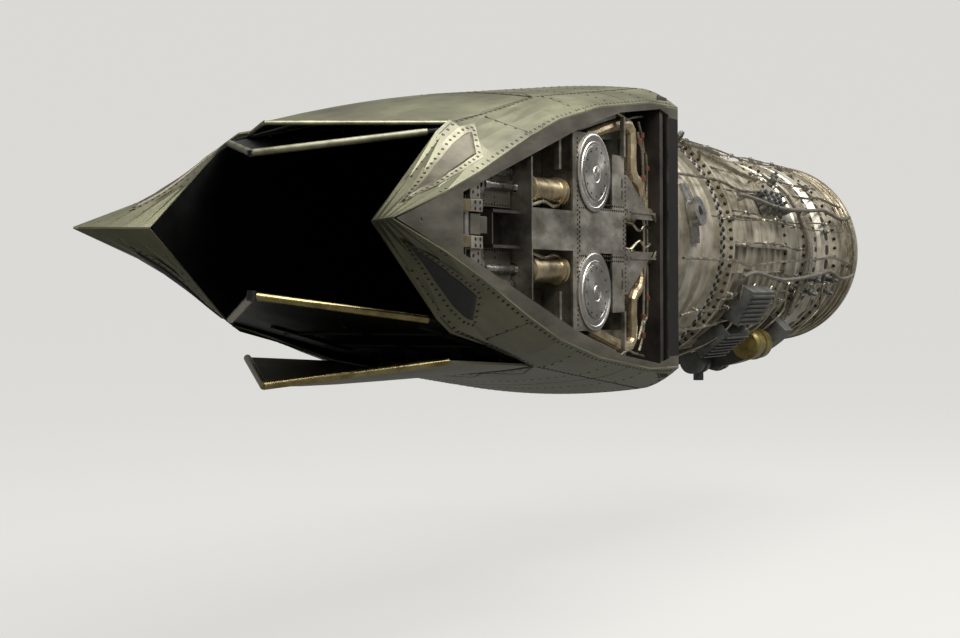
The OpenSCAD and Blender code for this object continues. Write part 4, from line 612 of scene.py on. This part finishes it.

# Deep in the bay, riveted inner panels, a perforated strip under the skin and a black box close the
# space between the webs. The black box is painted shade, set in the dark opening there.
strips = np.concatenate([slab(along_line((3826, 375), (3500, 449), 13), 560, 566),
                         slab(along_line((3870, 345), (3870, 215), 11), 536, 566),
                         slab(along_line((3966, 350), (3966, 215), 9), 540, 560)])
shell("bay_strips", four_ways(strips), bay_metal)
inner = np.concatenate([slab([(4262, 66), (4262, 235), (4460, 150), (4460, 66)], 512, 516),
                        slab([(4466, 60), (4466, 146), (4590, 96), (4590, 60)], 520, 524),
                        slab([(3905, 195), (3905, 345), (4240, 236), (4240, 195)], 452, 456)])
shell("bay_inner_panels", four_ways(inner), frame_metal)
shade_box = np.concatenate([slab([(4262, -60), (4262, 46), (4460, 46), (4460, -60)], 470, 474),
                      slab([(4262, 46), (4262, 56), (4466, 56), (4466, 46)], 470, 560),
                      slab([(4262, -70), (4262, -60), (4466, -60), (4466, -70)], 470, 560),
                      slab([(4460, -60), (4460, 46), (4468, 46), (4468, -60)], 470, 556)])
shell("bay_shade_box", mirrored(shade_box, 1), black)
sz = row([(3818, 377), (3506, 448)], 13)
rings = studs(at(sz[:, 0], 566, sz[:, 1]), (0, 1, 0),
              [(0.0045, -0.001), (0.0045, 0.0004), (0.001, 0.0005)], 8)
shell("strip_holes", four_ways(rings), black)
lines = [[(4375, 72), (4375, 112)], [(4270, 76), (4455, 76)], [(4450, 76), (4450, 112)],
         [(3915, 205), (4230, 205)]]
sz = np.concatenate([row(line, 19) for line in lines])
depth = np.where(sz[:, 0] > 4255, 516, 456)
rings = studs(at(sz[:, 0], depth, sz[:, 1]), (0, 1, 0), dome, 8)
shell("inner_rivets", four_ways(rings), dark_rivet)

# Beside each large actuator a small one works the external flap: a polished body with a gland
# nut, a thin rod and a rod end. Hydraulic tubes and a bent air duct run along the bay.
line = np.array([(4262, 505, 192), (4275, 505, 191), (4276, 505, 191), (4392, 506, 180),
                 (4393, 506, 180), (4404, 506, 179), (4405, 506, 179), (4470, 508, 158),
                 (4471, 508, 158), (4490, 508, 152)], float)
girth = np.array([23, 23, 18, 18, 24, 24, 8, 8, 14, 14])
ring = np.arange(16) * 2 * math.pi / 16
circle = np.cos(ring)[:, None] * [0, 1, 0] + np.sin(ring)[:, None] * [0.14, 0, 1]
body = metres(line[:, None] + girth[:, None, None] * circle)[None]
shell("small_actuators", four_ways(body), steel)
feeds = [[(4060, 470, 262), (4140, 480, 246), (4210, 500, 226), (4290, 520, 214), (4320, 520, 206)],
         [(3940, 540, 90), (4010, 552, 84), (4090, 556, 96), (4170, 552, 84), (4236, 548, 90)],
         [(3560, 540, 470), (3470, 560, 458), (3400, 566, 440), (3330, 560, 452), (3200, 548, 470)],
         [(3150, 556, 30), (3210, 560, 44), (3260, 556, 20), (3330, 548, 52), (3420, 540, 40)]]
rings = np.concatenate([tube(curve_through(metres(feed), 50), 0.006, (0, 1, 0.2)) for feed in feeds])
shell("bay_tubes", four_ways(rings), tube_steel)
elbow = [(3050, 500, 80), (3120, 505, 82), (3190, 508, 92), (3240, 508, 60), (3300, 506, 84),
         (3370, 502, 88), (3412, 498, 80)]
rings = tube(curve_through(metres(elbow), 60), 0.02, (0, 1, 0), 14)
shell("bay_elbows", four_ways(rings), hot)

finish_nodes(hot, "air_ducts", "actuator_barrels")
finish_nodes(steel, "upper_rods", "lower_rods", "throat_pins_upper", "throat_pins_lower")

# Skins. The outer skins and the four swept fairings are titanium sheet in olive-grey enamel,
# riveted along their edges, with a yellow-green sheen and worn edges.
olive = worn_metal("olive-grey enamel on titanium", [(0.22, "#464434"), (0.42, "#62604a"),
                                                     (0.58, "#727057"), (0.78, "#87846a")],
                   240, 0.55, (0.3, 0.5), streak=2.5)
finish_nodes(olive, "upper_skin", "lower_skin", "side_fairings", "upper_external_flap",
             "lower_external_flap")
# The skins' front and seam stations, the wall's offset, the bay's width, and the front heights.
nozzle_front, seam = 2965, 3904
wall_y, bay_wide = 424, 178
crown_z, wall_z, crease_z = 643, 613, 524


def skin_height(s, y):
    """The outer skin's height in mm at station s and offset y. Over the passage it falls from the
    crown to the wall line with the square of y. Over a bay it falls to the crease with the power
    1.7 of y, and aft of the seam along straight lines that fan out towards the outboard points."""
    s, y = np.broadcast_arrays(np.asarray(s, float), np.abs(y))
    aft = s - nozzle_front
    crown = crown_z - np.interp(aft, [0, 637, 938, 1156, 1516, 1981], [0, 84, 124, 156, 219, 317])
    wall_share = ([0, 938, 1091, 1320, 1548, 1635, 1835, 2025],
                  [0, 0.21, 0.272, 0.36, 0.432, 0.507, 0.759, 1])
    crease_share = ([0, 292, 760, 1091, 1320, 1669, 1860, 2191],
                    [0, 0.015, 0.13, 0.273, 0.422, 0.683, 0.809, 1])
    wall = wall_z * (1 - np.interp(aft, *wall_share))
    crease = crease_z * (1 - np.interp(aft, *crease_share))
    u = np.clip((y - wall_y) / bay_wide, 0, 1)
    inner = np.array([seam, 4056, 4285, 4513, 4600, 4800, 4990.0])
    outer = np.array([seam, 4056, 4285, 4513, 4634, 4845, 5156.0])
    parts = np.array([0, 0.12, 0.35, 0.6, 0.8, 1])
    share = np.stack([np.interp(u, parts, parts ** p) for p in (1.7, 1.6, 1.3, 1.1, 1, 1, 1)], -1)
    high = wall_z * (1 - np.interp(inner - nozzle_front, *wall_share))
    low = crease_z * (1 - np.interp(outer - nozzle_front, *crease_share))
    knots = inner + (outer - inner) * u[..., None]
    levels = np.maximum(high - (high - low) * share, 3)
    i = np.clip((knots <= s[..., None]).sum(-1) - 1, 0, 5)[..., None]
    s0, s1 = (np.take_along_axis(knots, i + k, -1)[..., 0] for k in (0, 1))
    z0, z1 = (np.take_along_axis(levels, i + k, -1)[..., 0] for k in (0, 1))
    fan = z0 + (z1 - z0) * np.clip((s - s0) / (s1 - s0), 0, 1)
    over_passage = crown - (crown - wall) * (y / wall_y) ** 2
    over_bay = np.where(s <= seam, wall - (wall - crease) * u ** 1.7, fan)
    return np.where(y <= wall_y, over_passage, over_bay)


def on_skin(s, y, lift=0.0):
    """Points on the skin lifted lift mm off it, in metres, and its unit normals: the slopes come
    from the height one millimetre to each side."""
    s, y = np.broadcast_arrays(np.asarray(s, float), np.asarray(y, float))
    slope_s = (skin_height(s + 1, y) - skin_height(s - 1, y)) / 2
    slope_y = (skin_height(s, y + 1) - skin_height(s, y - 1)) / 2
    normal = np.stack([slope_s, -slope_y, np.ones_like(slope_s)], -1)
    normal /= np.linalg.norm(normal, axis=-1, keepdims=True)
    return at(s, y, skin_height(s, y)) + normal * np.asarray(lift, float)[..., None] / 1000, normal


# Flush rivets, 12 mm heads 34 mm apart, run along the skins' edges, frames and sidewall joints.
lines = [[(2988, 0), (2988, 585)], [(3884, 0), (3884, 410)], [(2988, 436), (3890, 436)],
         [(3000, 588), (3890, 588)], [(3270, 0), (3270, 580)], [(3590, 0), (3590, 580)],
         [(3884, 436), (3890, 590)], [(4320, 440), (4318, 480), (4300, 540), (4265, 592)],
         [(3930, 438), (4420, 438), (4560, 446), (4870, 452)],
         [(3930, 590), (4300, 590), (4640, 591), (4880, 593)]]
sy = np.concatenate([row(line, 34) for line in lines])
centres, normals = on_skin(sy[:, 0], sy[:, 1])
rings = studs(centres, normals, [(0.006, -0.001), (0.006, 0.0003), (0.0045, 0.0009), (0.001, 0.001)], 8)
shell("skin_rivets", four_ways(rings), dark_rivet)


def seam_strip(line, half, lift):
    """A thin strip on the skin along a line of (station, offset) corners, half wide to each side."""
    line = np.asarray(line, float)
    count = 1 + sum(int(max(2, np.linalg.norm(b - a) / 20)) for a, b in zip(line, line[1:]))
    run = np.r_[0, np.cumsum(np.linalg.norm(np.diff(line, axis=0), axis=1))]
    along = np.union1d(np.linspace(0, run[-1], count), run)
    spot = np.stack([np.interp(along, run, line[:, k]) for k in (0, 1)], -1)
    step = np.gradient(spot, along, axis=0)
    across = np.stack([-step[:, 1], step[:, 0]], -1)
    across = across / np.linalg.norm(step, axis=1, keepdims=True) * half
    edges = [on_skin(*(spot + across * side).T, height)[0]
             for side, height in ((-1, -1), (-1, lift), (1, lift), (1, -1))]
    return np.stack(edges, 1)[None]


# The skins end over the flaps' hinges in a saw-toothed seam, drawn as a black strip that is partly the
# dark joint and partly painted shadow of the skin's step along it. Narrow joints part their panels.
teeth = [(3902, 0), (3782, 104), (3902, 208), (3782, 312), (3902, 412)]
shell("seam_teeth_and_shadow", four_ways(seam_strip(teeth, 3.5, 0.6)), black)
lines = [[(4328, 457), (4300, 520), (4263, 597)], [(4876, 443), (4970, 500), (5079, 572)],
         [(3440, 0), (3440, 592)], [(2975, 428), (3900, 428)], [(3916, 430), (4560, 436), (4900, 440)]]
for k, line in enumerate(lines):
    shell(f"skin_joint_{k + 1}", four_ways(seam_strip(line, 1.6, 0.3)), black)

# Access frames. A triangular frame of riveted strip closes the recess in each swept fairing, and a thin
# panel fills it, brown above and black below. The lighter frame colour above is painted light; the
# darker olive frames and black panels below are painted shade.
def towards_tip(s):
    """A share of 0 up to station 4700, rising evenly to 1 at 4860 and aft of it."""
    return np.clip((s - 4700) / 160, 0, 1)


outer = np.array([(4985, 519), (4880, 490), (4756, 467), (4596, 461), (4510, 463), (4425, 469),
                  (4500, 525), (4560, 575), (4680, 571), (4801, 563), (4900, 548)], float)
inner = np.array([(4950, 528), (4850, 510), (4735, 494), (4600, 487), (4535, 489), (4491, 496),
                  (4530, 525), (4571, 556), (4680, 553), (4790, 547), (4880, 538)], float)
steps = np.arange(0, len(outer), 0.125)
i = steps.astype(int)
w = (steps % 1)[:, None]
outer_line = outer[i] * (1 - w) + outer[(i + 1) % len(outer)] * w
inner_line = inner[i] * (1 - w) + inner[(i + 1) % len(inner)] * w
strip = []
for line, lift in ((outer_line, -1.0), (outer_line, 1.6), (inner_line, 1.6), (inner_line, -1.0)):
    strip.append(on_skin(*line.T, lift + 4 * towards_tip(line[:, 0]))[0])
rings = np.stack(strip, 1)[None]
lit_strip_metal = worn_metal("riveted strip painted lighter as lit", [(0.25, "#5c5947"), (0.5, "#7a7661"), (0.8, "#9a9680")],
                         60, 0.6, (0.36, 0.5))
shell("upper_access_frames", mirrored(rings, 1), lit_strip_metal, looped=True)
# Painted shade: the lower frames take the darker olive.
shell("lower_access_frames", mirrored(rings * [1, 1, -1], 1), olive, looped=True)
centre = inner_line.mean(0)
fill = []
rim = [(1.0, -1.0), (1.0, 1.0), (0.96, 4.0)]
for share, lift in rim + [(share, 7.0) for share in np.linspace(0.9, 0.02, 12)]:
    line = centre + (inner_line - centre) * share
    fill.append(on_skin(*line.T, lift + 3 * towards_tip(line[:, 0]))[0])
fill_metal = worn_metal("brown panel behind the frame",
                        [(0.25, "#332f24"), (0.5, "#4f4a3a"), (0.8, "#696350")],
                        60, 0.5, (0.4, 0.55))
shade_metal = worn_metal("black panel painted as the recess's shade", [(0.3, "#0f100d"), (0.7, "#1f201b")], 60, 0.2,
                         (0.5, 0.7))
rings = np.stack(fill)[None]
shell("upper_access_panels", mirrored(rings, 1), fill_metal)
# Painted shade: the lower panels are black.
shell("lower_access_panels", mirrored(rings * [1, 1, -1], 1), shade_metal)
half = (outer + inner) / 2
sy = row(np.concatenate([half, half[:1]]), 26)
centres, normals = on_skin(*sy.T, 1.6 + 4 * towards_tip(sy[:, 0]))
rings = studs(centres, normals, [(0.0055, -0.001), (0.0055, 0.0004), (0.001, 0.0009)], 8)
shell("access_frame_screws", four_ways(rings), dark_rivet)

# Flaps. The divergent and convergent flaps face the flame and carry a black ceramic coat,
# streaked by the gas. The external flaps carry the skins' enamel.
soot = worn_metal("sooted ceramic coating", [(0.3, "#0b0b0a"), (0.6, "#181715"), (0.8, "#26231f")],
                  200, 0.3, (0.4, 0.6), streak=4)
finish_nodes(soot, "upper_convergent_flap", "lower_convergent_flap", "upper_divergent_flap",
             "lower_divergent_flap")


def hinged(points, s, z, degrees, side):
    """Points in a flap's own frame, aft of its hinge and outward of it, carried to the engine:
    turned about the hinge at station s and height z, above the axis or, with side -1, below."""
    x, y, h = np.asarray(points, float).T
    c, w = math.cos(math.radians(degrees)), math.sin(math.radians(degrees))
    return at(s + x * c + h * w, y, side * (z - x * w + h * c))


# The free edges of the flaps carry edge guards: bright sleeves over the lower flaps' thick rims, tinted
# gold by heat, and a light band on the upper ones.
gold = worn_metal("gold-tinted guard tube", [(0.25, "#4a4128"), (0.5, "#857850"), (0.75, "#ada077")],
                  90, 0.95, (0.2, 0.32), bump=0.06)
band = worn_metal("light edge band", [(0.25, "#55533f"), (0.5, "#7f7d66"), (0.75, "#a09e84")],
                  80, 0.6, (0.36, 0.5), bump=0.1)
# Each free edge runs from its outboard corner to its point. A hinge has a station and a height.
inner_edge = np.array([(786, 393, -18), (1204.5, 0, -18)])
outer_edge = np.array([(554, 405, -143), (1020.3, 0, -161.8)])
divergent_hinge, external_hinge = (3836, 468), (3925, 484)
for name, body, edge, hinge, droop, side, radius, metal in (
        ("lower_inner_guards", "lower_divergent", inner_edge, divergent_hinge, 10.9, -1, 14.4, gold),
        ("upper_inner_guards", "upper_divergent", inner_edge, divergent_hinge, 10.9, 1, 12, band),
        ("lower_outer_guards", "lower_external", outer_edge, external_hinge, -10.2, -1, 13.2, gold),
        ("upper_outer_guards", "upper_external", outer_edge, external_hinge, 0, 1, 7.6, band)):
    path = hinged(np.linspace(*edge, 24), *hinge, droop, side)
    guard = mirrored(tube(path, radius / 1000, (0, 0, 1), 16), 1)
    shell(name, guard, metal, body=body)
